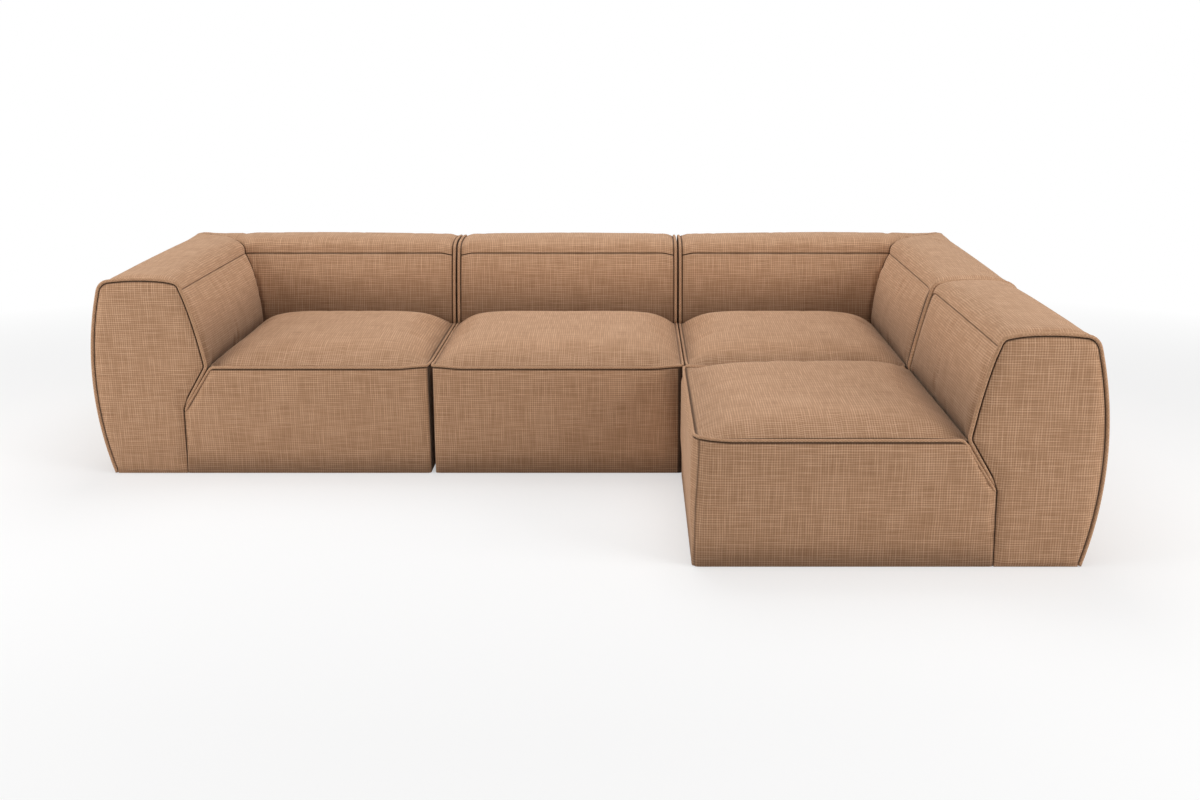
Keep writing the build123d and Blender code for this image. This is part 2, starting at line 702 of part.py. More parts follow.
def tongue():
    """Plate that steps across the boundary and points down into the next unit's pocket."""
    half = TONGUE_WIDTH / 2
    plate = box((-FACE_INSET, -half, STEP_BOTTOM), (POCKET_FLOOR, half, TONGUE_TOP + TONGUE_PLATE_HEIGHT))
    reach = -POCKET_FLOOR - TONGUE_CLEARANCE
    step = box((-FACE_INSET, -half, STEP_BOTTOM), (reach, half, TONGUE_TOP))
    blade = box((reach - PLATE, -half, TONGUE_TOP - TONGUE_HEIGHT), (reach, half, TONGUE_TOP))
    places = [(y, TONGUE_SCREW_HEIGHT) for y in (-TONGUE_SCREW_SPREAD, TONGUE_SCREW_SPREAD)]
    return with_screws(plate + step + blade, places)


def with_screws(plate, places):
    """A plate with screw holes, and the screws that hold it to the rail behind the panel."""
    screws = []
    for y, z in places:
        plate -= rod(y, z, SCREW_RADIUS + SCREW_HOLE_GAP, -SPAN, SPAN)
        shank = rod(y, z, SCREW_RADIUS, POCKET_FLOOR - SCREW_LENGTH, POCKET_FLOOR)
        screws.append(shank + rod(y, z, SCREW_HEAD_RADIUS, POCKET_FLOOR, POCKET_FLOOR + SCREW_HEAD))
    return plate, screws


def screw_holes(kind):
    """Room for the screws of one plate in the panel and rail behind it."""
    spread, z = (SCREW_SPREAD, RECEIVER_MIDDLE)
    if kind == "tongue":
        spread, z = TONGUE_SCREW_SPREAD, TONGUE_SCREW_HEIGHT
    start = POCKET_FLOOR - SCREW_LENGTH - SCREW_HOLE_GAP
    return [rod(y, z, SCREW_RADIUS + SCREW_HOLE_GAP, start, POCKET_FLOOR) for y in (-spread, spread)]


def rod(y, z, radius, start, end):
    """A round bar square to the boundary."""
    return Pos((start + end) / 2, y, z) * Rot(0, 90, 0) * Cylinder(radius, end - start)


# The four units and their places in the sofa


def unit_of(has_arm, sides):
    unit = Unit(has_arm)
    unit.sides = sides
    return unit


FRONT_LINE = (SEAT_UNIT_WIDTH - UNIT_DEPTH) / 2  # seat front of the three units in a row
HALF_UNIT = SEAT_UNIT_WIDTH / 2
UNITS = {
    "left": (
        unit_of(True, (("right", "tongue"),)),
        lambda s: Pos(-HALF_UNIT - UNIT_DEPTH, FRONT_LINE, 0) * s,
    ),
    "middle": (
        unit_of(False, (("left", "receiver"), ("right", "tongue"))),
        lambda s: Pos(-HALF_UNIT, FRONT_LINE, 0) * s,
    ),
    "corner": (
        unit_of(True, (("right", "receiver"), ("front", "receiver"))),
        lambda s: Pos(HALF_UNIT + UNIT_DEPTH, FRONT_LINE, 0) * mirror(s, about=Plane.YZ),
    ),
    "return": (
        unit_of(False, (("left", "tongue"),)),
        lambda s: Pos(HALF_UNIT, FRONT_LINE, 0) * Rot(0, 0, -90) * s,
    ),
}
PIECES = (
    "seat_frame",
    "back_frame",
    "seat_springs",
    "spring_clips",
    "back_webbing",
    "seat_foam",
    "back_foam",
    "seat_cover",
    "back_cover",
    "piping",
    "dust_cover",
    "glides",
    "connectors",
)
ARM_PIECES = ("arm_frame", "arm_foam", "arm_cover")


def solids_of(made):
    """Every solid of a piece, whether it was made as one shape or as a list."""
    shapes = made if isinstance(made, list) else [made]
    return [solid for shape in shapes for solid in shape.solids()]


os.makedirs("parts", exist_ok=True)
for name, (unit, place) in UNITS.items():
    for piece in PIECES + (ARM_PIECES if unit.has_arm else ()):
        solids = [place(solid) for solid in solids_of(getattr(unit, piece)())]
        node = f"{name}_{piece}"
        export_step(Compound(label=node, children=solids), f"parts/{node}.step")
        print(node, len(solids), "solids", round(sum(s.volume for s in solids) / 1000), "cm3")
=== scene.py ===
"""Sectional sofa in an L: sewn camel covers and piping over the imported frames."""

import math

import bmesh
import bpy
from mathutils import Matrix, Vector


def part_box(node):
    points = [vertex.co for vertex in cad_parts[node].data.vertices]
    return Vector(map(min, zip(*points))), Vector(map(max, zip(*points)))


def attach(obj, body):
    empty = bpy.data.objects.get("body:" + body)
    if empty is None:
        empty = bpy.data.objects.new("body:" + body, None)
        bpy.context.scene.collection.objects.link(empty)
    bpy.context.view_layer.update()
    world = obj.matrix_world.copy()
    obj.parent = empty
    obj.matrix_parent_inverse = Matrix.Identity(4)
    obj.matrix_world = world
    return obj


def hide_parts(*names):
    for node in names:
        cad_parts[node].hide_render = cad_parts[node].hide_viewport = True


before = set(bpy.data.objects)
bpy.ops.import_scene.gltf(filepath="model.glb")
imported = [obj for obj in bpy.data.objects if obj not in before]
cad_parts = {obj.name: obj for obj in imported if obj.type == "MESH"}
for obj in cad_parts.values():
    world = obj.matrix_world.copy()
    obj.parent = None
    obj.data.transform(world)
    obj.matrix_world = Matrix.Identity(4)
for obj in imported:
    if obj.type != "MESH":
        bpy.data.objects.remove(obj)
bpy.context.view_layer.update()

# Overall sizes of the units, in metres, as the frame has them
UNIT_DEPTH = 1.060
SEAT_UNIT_WIDTH = 0.800
OVERALL_HEIGHT = 0.625

# Cover
FACE_INSET = 0.007  # front and side panels, in from the unit's outline
HEM = 0.0015
HEM_MARGIN = 0.001  # points this close above the hem belong to it
HEM_TURN = 0.014  # cloth turned in under the hem
CLOTH = 0.003  # fabric with its backing
PANEL_BULGE = 0.004  # how far a flat panel swells between its seams
PANEL_EDGE = 0.003  # how far its edges are drawn in
PANEL_ROLL = 0.014

# Bolster: widths run in from the outermost line
PIPING_PROUD = 0.002
OUTER_RADIUS = 1.080
BULGE_HEIGHT = 0.305
TOP_RADIUS = 0.800
TOP_CROWN_IN = 0.175
LEAN = math.radians(13.5)
NOSE_IN = 0.364
NOSE_HEIGHT = 0.348
SEAM_IN = 0.280  # upright seam below the notch
SEAM_SLANT = -0.004  # and how much further in it stands at the hem: here, further out
NOTCH_HEIGHT = 0.206
OUTER_CORNER = 0.045
INNER_CORNER = 0.030
NOSE_CORNER = 0.032

# How padding fills a bolster out between its ends
TOP_SWELL = 0.013
TOP_SWELL_POWER = 1.5  # keeps that near the crown
FACE_SWELL = 0.009
CORNER_EASE = 0.008  # the upper inner edge softens by this much
CORNER_EASE_WIDTH = 0.035
MIDDLE_FULLNESS = 0.4  # added between the ends
MIDDLE_POWER = 0.6  # spreads that towards them
END_FULLNESS = {"free": 0.45, "joined": 0.6, "turned": 0.2, "mitre": 1.2}

# How cloth is drawn in at the ends of a bolster
END_DRAW = 0.008
END_ROLL = 0.045
END_GROOVE = 0.005  # sharp crease beside the piping
END_GROOVE_WIDTH = 0.013
END_PANEL_INSET = 0.010  # from the bolster's outline to the edge of its end panel
END_PANEL_TAPER = 0.1  # share of that inset left at the notch
END_PANEL_ROLL = 3 * PANEL_ROLL
SEAM_GAP = 0.0003  # from the upright seam's line to the cloth at either side
SEAM_DROP = 0.006  # from the notch down to the end panel's part of that seam
MITRE_DRAW = 0.006
MITRE_CORNER_DRAW = 0.004
MITRE_ROLL = 0.040
MITRE_PEAK = 0.006  # the outer upper corner stands this much prouder at a mitre
MITRE_PEAK_LENGTH = 0.180
MITRE_PEAK_WIDTH = 0.050
LAP_STEP = 0.0028  # the top's cloth laps over the leaning face's by this much
LAP_FADE = 0.009
LAP_EDGE = -0.0005  # the lower cloth starts just above the seam
LAP_DIP = 0.008  # the seam drops this much towards a piped end
LAP_DIP_LENGTH = 0.055
LAP_DIP_REACH = 0.080  # cloth this close to the seam drops with it

# Seat
SEAT_EDGE = 0.344  # height of the piped edge
EAR_RISE = 0.006  # and how much higher a free corner stands
EAR_LENGTH = 0.100
EAR_TUCK = {"free": 0.011, "joined": 0.0015, "turned": 0.0015}  # how far the corner is drawn in
EAR_TUCK_LENGTH = 0.055
EAR_TUCK_DROP = 0.240  # and the panels below it down to this depth
SEAT_CROWN = 0.072
FRONT_RISE = 0.090  # distance over which the crown rises from the front edge
SIDE_RISE = 0.050  # and from the sides

# Padding pressed against the cloth, for the cloth simulation
PRESSURE = 4.0
SPARE_CLOTH = 0.012  # share by which the cloth is cut larger than the form
MOST_MOVED = 0.005
HELD_FROM = 0.55  # points painted this dark in a seam stay where they are
SLACK_ROWS = 5  # rows of points over which the cloth beside a seam comes free
LAST_STEP = 20

# Piping
PIPING_RADIUS = 0.0050
SEAT_PIPING_RADIUS = 0.0042
PIPING_SIDES = 10
SEAT_PIPING_OUT = 0.004  # from the seat's edge to the piping's middle
SEAT_PIPING_UP = 0.002
NOTCH_ROOM = 0.0105  # from the notch's line to the seat's own edge
NOTCH_TAPER = 0.050  # over which the piping runs out into the seam below the notch
END_PIPING_LINE = 0.0082  # from the unit's outline to the middle of an end's piping
PIPING_STEP = 0.008
PIPING_BEND = 0.010  # how far round a corner it bends
PIPING_DIVE = 0.016  # how far its ends dive below the notch
NOTCH_PIPING_UP = 0.004
END_PIPING_SINK = 1.5 * PIPING_RADIUS  # at the notch
SEAM_WIDTH = 0.0045  # shaded strip along a seam

# Painted shade in creases: how far from an edge they stay dark, and the width over which they fade
END_CREASE = 0.008, SEAM_WIDTH  # beside the piping of a bolster's end
TURNED_CREASE = 0.020, 0.012  # where two leaning faces meet
LAP_CREASE = 0.0025, 0.002
SEAT_CREASE = 0.0055, 0.0035  # above the seat's piping
PANEL_CREASE = 0.0045, 0.004  # below it

# Shade where little light comes in, as a share of a seam's, and how far it reaches
HOLLOW_SHADE, HOLLOW_REACH = 0.48, 0.19  # where a bolster and a seat press together
SEAT_HOLLOW_REACH = 0.6 * HOLLOW_REACH
EDGE_SHADE, EDGE_REACH = 0.28, 0.045  # along a seat's sides, beside another unit
FRONT_SHADE, FRONT_REACH = 0.16, 0.130  # along its free edges
JOINT_SHADE, JOINT_REACH = 0.34, 0.090  # along the corner unit's front edge, behind the return
GAP_SHADE, GAP_REACH = 0.95, 0.006  # in the gap between two units
GAP_START, GAP_END = 2 * GAP_REACH, 12 * GAP_REACH  # from a seat's front into the gap
SEAT_GAP_RIM, END_GAP_RIM = 4 * GAP_REACH, 6 * GAP_REACH  # in from the edges of a side
FLOOR_SHADE, FLOOR_REACH = 0.10, 0.160  # towards the floor
HEM_SHADE, HEM_REACH = 0.18, 0.030  # and close to it
PALE_LAP = 0.55  # share of painted shade on a lapped seam that doesn't end at a gap
SEAT_CREASE_SHADE = 0.8
SIDE_SEAM_SHADE, SIDE_SEAM_WIDTH = 0.75, 0.003  # upright seams of a seat

# Cloth under the base
BASE_CLOTH = 0.0012
BASE_CLOTH_SAG = 0.003
BASE_CLOTH_STEPS = 16

# What the padded covers hold, as shares of their room
SEAT_FILL, BOLSTER_FILL = 0.75, 0.9

# The return's seat starts further forward and is flatter
RETURN_FRONT, RETURN_CROWN = -0.012, 0.053

# Mesh spacing
GRID = 0.014
CORNER_GRID = GRID / 2.5
LONG_STRETCH = 0.1  # shorter ones are corners
MERGE_WITHIN = 0.0001
EDGE_STEPS = (
    0.0, 0.002, 0.004, 0.006, 0.008, 0.010, 0.0125, 0.016, 0.021, 0.028, 0.037, 0.048, 0.060,
)
RIM_STEPS = EDGE_STEPS[:10]
LAP_STEPS = (
    -0.018, -0.011, -0.006, -0.003, -0.001, 0.0, 0.0015, 0.003, 0.005, 0.008, 0.012, 0.018,
)
PANEL_SHARES = (0.12, 0.28, 0.48, 0.7, 0.88)

COVER_TOP = OVERALL_HEIGHT - PIPING_PROUD
HALF_UNIT = SEAT_UNIT_WIDTH / 2
FRONT_LINE = (SEAT_UNIT_WIDTH - UNIT_DEPTH) / 2


# Shape of the bolster: points are (distance in, height)


def crossing(point, along, other, normal):
    """Where the line through point meets the line through other with that normal."""
    return point + along * ((other - point).dot(normal) / along.dot(normal))


def circles_meet(centre, radius, other, other_radius):
    """The upper meeting point of two circles."""
    apart = other - centre
    along = (radius**2 - other_radius**2 + apart.length_squared) / (2 * apart.length)
    across = math.sqrt(radius**2 - along**2)
    axis = apart.normalized()
    foot = centre + axis * along
    side = Vector((-axis.y, axis.x)) * across
    return max(foot + side, foot - side, key=lambda p: p.y)


OUTER_CENTRE = Vector((PIPING_PROUD + OUTER_RADIUS, BULGE_HEIGHT))
TOP_CENTRE = Vector((TOP_CROWN_IN, COVER_TOP - TOP_RADIUS))
NOSE = Vector((NOSE_IN, NOSE_HEIGHT))
NOTCH = Vector((SEAM_IN, NOTCH_HEIGHT))
LEAN_ALONG = Vector((-math.sin(LEAN), math.cos(LEAN)))
LEAN_NORMAL = Vector((LEAN_ALONG.y, -LEAN_ALONG.x))
NOTCH_ALONG = (NOTCH - NOSE).normalized()
NOTCH_NORMAL = Vector((-NOTCH_ALONG.y, NOTCH_ALONG.x))
OUTER_ROUND = circles_meet(
    OUTER_CENTRE, OUTER_RADIUS - OUTER_CORNER, TOP_CENTRE, TOP_RADIUS - OUTER_CORNER
)
LEAN_SET_BACK = NOSE - LEAN_NORMAL * INNER_CORNER
LEAN_FOOT = LEAN_SET_BACK + LEAN_ALONG * (TOP_CENTRE - LEAN_SET_BACK).dot(LEAN_ALONG)
INNER_ROUND = LEAN_FOOT + LEAN_ALONG * math.sqrt(
    (TOP_RADIUS - INNER_CORNER) ** 2 - (LEAN_FOOT - TOP_CENTRE).length_squared
)
NOSE_ROUND = crossing(
    NOSE - LEAN_NORMAL * NOSE_CORNER, LEAN_ALONG, NOSE - NOTCH_NORMAL * NOSE_CORNER, NOTCH_NORMAL
)


class Arc:
    """A convex stretch of the outline about a centre."""

    def __init__(self, centre, start, end):
        self.centre = centre
        self.radius = (start - centre).length
        self.start = math.atan2(start.y - centre.y, start.x - centre.x)
        turn = math.atan2(end.y - centre.y, end.x - centre.x) - self.start
        self.turn = (turn + math.pi) % (2 * math.pi) - math.pi
        self.length = abs(self.turn) * self.radius

    def at(self, share):
        angle = self.start + self.turn * share
        normal = Vector((math.cos(angle), math.sin(angle)))
        return self.centre + normal * self.radius, normal


class Run:
    """A straight stretch of the outline."""

    def __init__(self, start, end, normal):
        self.start, self.end, self.normal = start, end, normal
        self.length = (end - start).length

    def at(self, share):
        return self.start.lerp(self.end, share), self.normal


def bolster_outline():
    """Stretches from the outer hem over the top and down to the notch."""

    def towards(centre, radius, target):
        return centre + (target - centre).normalized() * radius

    hem_in = math.sqrt(OUTER_RADIUS**2 - (HEM - BULGE_HEIGHT) ** 2)
    hem = Vector((OUTER_CENTRE.x - hem_in, HEM))
    outer_end = towards(OUTER_CENTRE, OUTER_RADIUS, OUTER_ROUND)
    top_start = towards(TOP_CENTRE, TOP_RADIUS, OUTER_ROUND)
    top_end = towards(TOP_CENTRE, TOP_RADIUS, INNER_ROUND)
    lean_start = INNER_ROUND + LEAN_NORMAL * INNER_CORNER
    lean_end = NOSE_ROUND + LEAN_NORMAL * NOSE_CORNER
    nose_end = NOSE_ROUND + NOTCH_NORMAL * NOSE_CORNER
    return [
        Arc(OUTER_CENTRE, hem, outer_end),
        Arc(OUTER_ROUND, outer_end, top_start),
        Arc(TOP_CENTRE, top_start, top_end),
        Arc(INNER_ROUND, top_end, lean_start),
        Run(lean_start, lean_end, LEAN_NORMAL),
        Arc(NOSE_ROUND, lean_end, nose_end),
        Run(nose_end, NOTCH, NOTCH_NORMAL),
    ]


OUTLINE = bolster_outline()
OUTLINE_LENGTH = sum(stretch.length for stretch in OUTLINE)
LAP_AT = sum(stretch.length for stretch in OUTLINE[:4])
INNER_CORNER_AT = LAP_AT - OUTLINE[3].length / 2
OUTER_CORNER_AT = OUTLINE[0].length + OUTLINE[1].length / 2
LEAN_LENGTH = OUTLINE[4].length


def on_outline(distance):
    """Point and outward normal at a distance along the bolster's outline."""
    for stretch in OUTLINE:
        if distance <= stretch.length:
            return stretch.at(distance / stretch.length)
        distance -= stretch.length
    return OUTLINE[-1].at(1.0)


def filled_outline(distance, fullness):
    """Point and normal of the outline where padding fills it out, from 0, flat, to 1."""
    at, normal = on_outline(distance)
    upward = max(0.0, normal.y - LEAN_NORMAL.y) / (1 - LEAN_NORMAL.y)
    swell = TOP_SWELL * upward**TOP_SWELL_POWER
    down = (distance - LAP_AT) / LEAN_LENGTH
    if 0 < down < 1:
        swell += FACE_SWELL * math.sin(math.pi * down)
    swell -= CORNER_EASE * math.exp(-(((distance - INNER_CORNER_AT) / CORNER_EASE_WIDTH) ** 2))
    return at + normal * swell * fullness, normal


def outline_rows():
    """Distances along the outline for the mesh rows, close together round corners and seam."""
    rows, start = [], 0.0
    for stretch in OUTLINE:
        step = GRID if stretch.length > LONG_STRETCH else CORNER_GRID
        count = max(2, round(stretch.length / step))
        rows += [start + stretch.length * i / count for i in range(count)]
        start += stretch.length
    reach = LAP_STEPS[-1]
    rows = [row for row in rows if abs(row - LAP_AT) > reach + GRID / 4]
    return sorted(rows + [LAP_AT + step for step in LAP_STEPS] + [OUTLINE_LENGTH])


def seam_line(height):
    """How far in the seam between a bolster's end and the seat lies at a height."""
    if height < NOTCH_HEIGHT:
        return SEAM_IN + SEAM_SLANT * (1 - height / NOTCH_HEIGHT)
    return crossing(NOSE, NOTCH_ALONG, Vector((0, height)), Vector((0, 1))).x


# How cloth rolls into a seam


def roll(distance, width):
    """0 in a seam, 1 beyond the width over which the cloth rolls into it."""
    share = min(max(distance / width, 0.0), 1.0)
    return math.sqrt(1 - (1 - share) ** 2)


def ease(distance, width):
    """1 at a place, falling smoothly to 0 at the width."""
    share = min(max(abs(distance) / width, 0.0), 1.0)
    return (1 - share) ** 2 * (1 + 2 * share)


def crease(distance, dark, width):
    """1 up to the dark distance from an edge, falling to 0 over the width beyond."""
    return ease(max(0.0, distance - dark), width)


def near_floor(height):
    """Shade that falls on the cloth towards the floor."""
    return FLOOR_SHADE * ease(height, FLOOR_REACH) + HEM_SHADE * ease(height, HEM_REACH)


def rise(distance, length):
    """0 at an edge, climbing to 1 over a few lengths."""
    return 1 - math.exp(-max(distance, 0.0) / length)


def spread(start, end):
    """Places between two seams: close together near each, even between."""
    near = [start + step for step in EDGE_STEPS]
    far = [end - step for step in reversed(EDGE_STEPS)]
    count = max(2, round((far[0] - near[-1]) / GRID))
    inner = [near[-1] + (far[0] - near[-1]) * i / count for i in range(1, count)]
    return near + inner + far


# Meshes. A cover's point is (position, place on the cloth, painted shade, deep in a seam or hollow)


def cover_mesh():
    """An empty mesh with a map for the cloth and a value for the shade painted into seams and
    hollows.
    """
    mesh = bmesh.new()
    mesh.loops.layers.uv.new("cloth")
    mesh.verts.layers.float.new("painted_shade")
    return mesh


def patch(mesh, grid, inside):
    """Adds a sheet of faces through a grid of cover points, turned away from the point inside."""
    cloth, painted_shade = mesh.loops.layers.uv["cloth"], mesh.verts.layers.float["painted_shade"]
    verts = []
    for row in grid:
        verts.append([mesh.verts.new(point) for point, _, _ in row])
        for vert, (_, _, shading) in zip(verts[-1], row):
            vert[painted_shade] = shading
    faces = []
    for i in range(len(grid) - 1):
        for j in range(len(grid[0]) - 1):
            corners = ((i, j), (i, j + 1), (i + 1, j + 1), (i + 1, j))
            face = mesh.faces.new([verts[a][b] for a, b in corners])
            for loop, (a, b) in zip(face.loops, corners):
                loop[cloth].uv = grid[a][b][1]
            face.smooth = True
            faces.append(face)
    middle = faces[len(faces) // 2]
    middle.normal_update()
    if middle.normal.dot(middle.calc_center_median() - inside) < 0:
        bmesh.ops.reverse_faces(mesh, faces=faces)


def tube(mesh, path, radius):
    """Adds a round rod along a path, with closed ends."""
    cloth = mesh.loops.layers.uv["cloth"]
    rings, run, side = [], 0.0, None
    for i, point in enumerate(path):
        ahead = (path[min(i + 1, len(path) - 1)] - path[max(i - 1, 0)]).normalized()
        if side is None:
            side = ahead.orthogonal()
        side = (side - ahead * side.dot(ahead)).normalized()
        up = ahead.cross(side)
        run += (point - path[i - 1]).length if i else 0.0
        angles = [2 * math.pi * k / PIPING_SIDES for k in range(PIPING_SIDES)]
        ring = [point + (side * math.cos(a) + up * math.sin(a)) * radius for a in angles]
        rings.append((run, [mesh.verts.new(p) for p in ring]))
    for (near, first), (far, second) in zip(rings, rings[1:]):
        for k in range(PIPING_SIDES):
            after = (k + 1) % PIPING_SIDES
            face = mesh.faces.new((first[k], first[after], second[after], second[k]))
            face.smooth = True
            around = [2 * math.pi * radius * a / PIPING_SIDES for a in (k, k + 1, k + 1, k)]
            for loop, across, along in zip(face.loops, around, (near, near, far, far)):
                loop[cloth].uv = (across, along)
    mesh.faces.new(rings[0][1][::-1])
    mesh.faces.new(rings[-1][1])


def rounded(corners, radius, step):
    """Points along a line through corners, each corner eased over a radius."""
    line = [corners[0]]
    for before, corner, after in zip(corners, corners[1:], corners[2:]):
        start = corner + (before - corner).normalized() * radius
        end = corner + (after - corner).normalized() * radius
        line += [start]
        for share in (0.25, 0.5, 0.75):
            line.append(start.lerp(corner, share).lerp(corner.lerp(end, share), share))
        line += [end]
    line.append(corners[-1])
    path = []
    for start, end in zip(line, line[1:]):
        count = max(1, round((end - start).length / step))
        path += [start.lerp(end, i / count) for i in range(count)]
    return path + [line[-1]]


def apply(piece):
    """Applies a piece's modifiers."""
    bpy.ops.object.select_all(action="DESELECT")
    piece.select_set(True)
    bpy.context.view_layer.objects.active = piece
    for modifier in list(piece.modifiers):
        bpy.ops.object.modifier_apply(modifier=modifier.name)


class Unit:
    """One upholstered unit: x from its left side, y from its seat front. A corner unit has an arm
    at its left. near_end is the end of its arm, or else the left end of its back, and right_end
    the right end of its back. return_at is the side of its seat where the return stands, front
    where its seat's padding starts, and crown how high that rises."""

    def __init__(
        self, name, has_arm, place, near_end, right_end="joined", return_at=None, front=0.0,
        crown=SEAT_CROWN,
    ):
        self.name, self.has_arm, self.place = name, has_arm, place
        self.near_end, self.right_end, self.return_at = near_end, right_end, return_at
        self.front, self.crown = front, crown
        self.width = UNIT_DEPTH if has_arm else SEAT_UNIT_WIDTH

    def piece(self, name, mesh, material, slot, *nodes):
        """Places a finished mesh with its material and hides the unit's nodes that it stands for.
        """
        bmesh.ops.remove_doubles(mesh, verts=mesh.verts, dist=MERGE_WITHIN)
        mesh.transform(self.place)
        if self.place.determinant() < 0:
            bmesh.ops.reverse_faces(mesh, faces=mesh.faces)
        data = bpy.data.meshes.new(f"{self.name}_{name}")
        mesh.to_mesh(data)
        mesh.free()
        piece = bpy.data.objects.new(f"{self.name}_{name}", data)
        bpy.context.collection.objects.link(piece)
        data.materials.append(material)
        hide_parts(*[f"{self.name}_{node}" for node in nodes])
        return piece

    def cover(self, name, mesh, material, fill, *nodes):
        """A padded cover, still without the cloth's thickness."""
        piece = self.piece(name, mesh, material, "upholstery", *nodes)
        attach(piece, self.name)
        return piece

    # Bolsters. along is the distance down the unit's back or arm

    def on_back(self, along, at):
        return Vector((along, UNIT_DEPTH - at.x, at.y))

    def on_arm(self, along, at):
        return Vector((at.x, along, at.y))

    def bolster(self, mesh, place, length, start_end, far_end):
        """Adds the wall of a back or arm and its piped end panels."""
        rows = outline_rows()
        zone = EDGE_STEPS[-1]
        lap_shade = 1.0 if "joined" in (start_end, far_end) else PALE_LAP
        count = round((length - 2 * zone) / GRID)
        stations = [("start", step) for step in EDGE_STEPS]
        stations += [("between", i / count) for i in range(1, count)]
        stations += [("end", step) for step in reversed(EDGE_STEPS)]

        def settle(row, side, value):
            """A point of the wall: filled out, drawn in at both ends, lapped along the seam."""
            between = zone + (length - 2 * zone) * value
            from_start = {"start": value, "between": between, "end": length - value}[side]
            ends = ((from_start, start_end), (length - from_start, far_end))
            share = from_start / length
            fullness = END_FULLNESS[start_end] * (1 - share) + END_FULLNESS[far_end] * share
            fullness += MIDDLE_FULLNESS * (4 * share * (1 - share)) ** MIDDLE_POWER
            dip, inset = 0.0, 0.0
            for distance, end in ends:
                if end in ("joined", "turned"):
                    dip += LAP_DIP * ease(distance, LAP_DIP_LENGTH)
            at, normal = filled_outline(row + dip * ease(row - LAP_AT, LAP_DIP_REACH), fullness)
            outward = max(0.0, -normal.x)
            from_corner = (row - OUTER_CORNER_AT) / MITRE_PEAK_WIDTH
            # Painted shade: darker towards the floor, along the seams at the ends, in the lap's
            # crease and low on the leaning face where it presses on the seat
            shading = near_floor(at.y)
            for distance, end in ends:
                if end == "mitre":
                    draw = MITRE_DRAW + (MITRE_CORNER_DRAW - MITRE_DRAW) * outward
                    inset += draw * (1 - roll(distance, MITRE_ROLL))
                    peak = MITRE_PEAK * ease(distance, MITRE_PEAK_LENGTH)
                    inset -= peak * math.exp(-(from_corner**2))
                    shading = max(shading, ease(distance, SEAM_WIDTH))
                else:
                    inset += END_DRAW * (1 - roll(distance, END_ROLL))
                    inset += END_GROOVE * ease(distance, END_GROOVE_WIDTH)
                    turned = end == "turned" and row > LAP_AT
                    shading = max(shading, crease(distance, *(TURNED_CREASE if turned else END_CREASE)))
            below = row - LAP_AT
            if below > LAP_EDGE:
                inset += LAP_STEP * math.exp(-below / LAP_FADE)
                shading = max(shading, lap_shade * crease(below, *LAP_CREASE))
            shading = max(shading, HOLLOW_SHADE * ease(min(0.0, below - LEAN_LENGTH), HOLLOW_REACH))
            at = at - normal * inset
            start = at.x if start_end == "mitre" else FACE_INSET
            end = length - at.x if far_end == "mitre" else length - FACE_INSET
            between = start + zone + (end - start - 2 * zone) * value
            along = {"start": start + value, "between": between, "end": end - value}[side]
            return place(along, at), (along, row), shading

        wall = [[settle(row, *station) for station in stations] for row in rows]
        middle = place(length / 2, Vector((TOP_CROWN_IN, BULGE_HEIGHT)))
        hem = []
        for point, cloth, shading in wall[0]:
            inwards = (middle - point) * Vector((1, 1, 0))
            hem.append((point + inwards.normalized() * HEM_TURN, cloth, shading))
        patch(mesh, [hem] + wall, middle)
        for end, at_end in ((start_end, 0.0), (far_end, length)):
            if end != "mitre":
                self.end_panel(mesh, place, at_end, end, middle)

    def end_panel(self, mesh, place, at_end, end, middle):
        """Adds the panel inside a bolster's piped end: it swells a little, or stays flat against
        another unit."""
        line = abs(at_end - FACE_INSET)
        count = round(OUTLINE_LENGTH / PIPING_STEP)
        full = END_FULLNESS[end]
        rim = [filled_outline(OUTLINE_LENGTH * i / count, full) for i in range(count + 1)]
        edge = []
        for i, (at, normal) in enumerate(rim):
            taper = min(1.0, END_PANEL_TAPER + (count - i) * PIPING_STEP / NOTCH_TAPER)
            edge.append(place(line, at - normal * END_PANEL_INSET * taper))
        edge[0].z = HEM
        foot_count, base_count = round(NOTCH_HEIGHT / GRID), round(SEAM_IN / GRID)
        seam = []
        for i in range(foot_count + 1):
            height = HEM + (NOTCH_HEIGHT - SEAM_DROP - HEM) * (1 - i / foot_count)
            seam.append(place(line, Vector((seam_line(height) - SEAM_GAP, height))))
        base = [seam[-1].lerp(edge[0], i / base_count) for i in range(1, base_count + 1)]
        outline = edge + seam + base
        centre = place(line, Vector((TOP_CROWN_IN, BULGE_HEIGHT)))
        out = (centre - middle).normalized()
        on_hem = [p.z < HEM + HEM_MARGIN for p in outline]
        # The cloth turned in under the hem takes full painted shade
        grid = [[(p - out * HEM_TURN, self.on_panel(p, out), 1.0) for p in outline]]
        distances = [(step, 0.0) for step in RIM_STEPS]
        distances += [(RIM_STEPS[-1], share) for share in PANEL_SHARES]
        for step, share in distances + [(0.0, 1.0)]:
            ring = []
            for p, hemmed in zip(outline, on_hem):
                inner = p + (centre - p).normalized() * step
                inner = inner.lerp(centre, share)
                distance = (inner - p).length
                swell = PANEL_BULGE * (1.0 if hemmed else roll(distance, END_PANEL_ROLL))
                swell = swell if end == "free" else 0.0
                # Painted shade: darker along the piped rim, over a wider rim where the end stands
                # against another unit, and towards the floor
                shading = 0.0 if hemmed else ease(distance, SEAM_WIDTH)
                if end != "free" and not hemmed:
                    shading = max(shading, GAP_SHADE * ease(distance, END_GAP_RIM))
                shading = max(shading, near_floor(inner.z))
                ring.append((inner + out * swell, self.on_panel(inner, out), shading))
            grid.append(ring)
        patch(mesh, grid, middle)

    def on_panel(self, point, out):
        """Place on the cloth of a point on an upright panel: across it and up."""
        return (point.x if abs(out.y) > abs(out.x) else point.y, point.z)

    # Seat

    def side_inset(self, end):
        """How far in a side's edges lie. Pressed against another unit, it stays flat."""
        return FACE_INSET + PANEL_EDGE if end == "free" else FACE_INSET

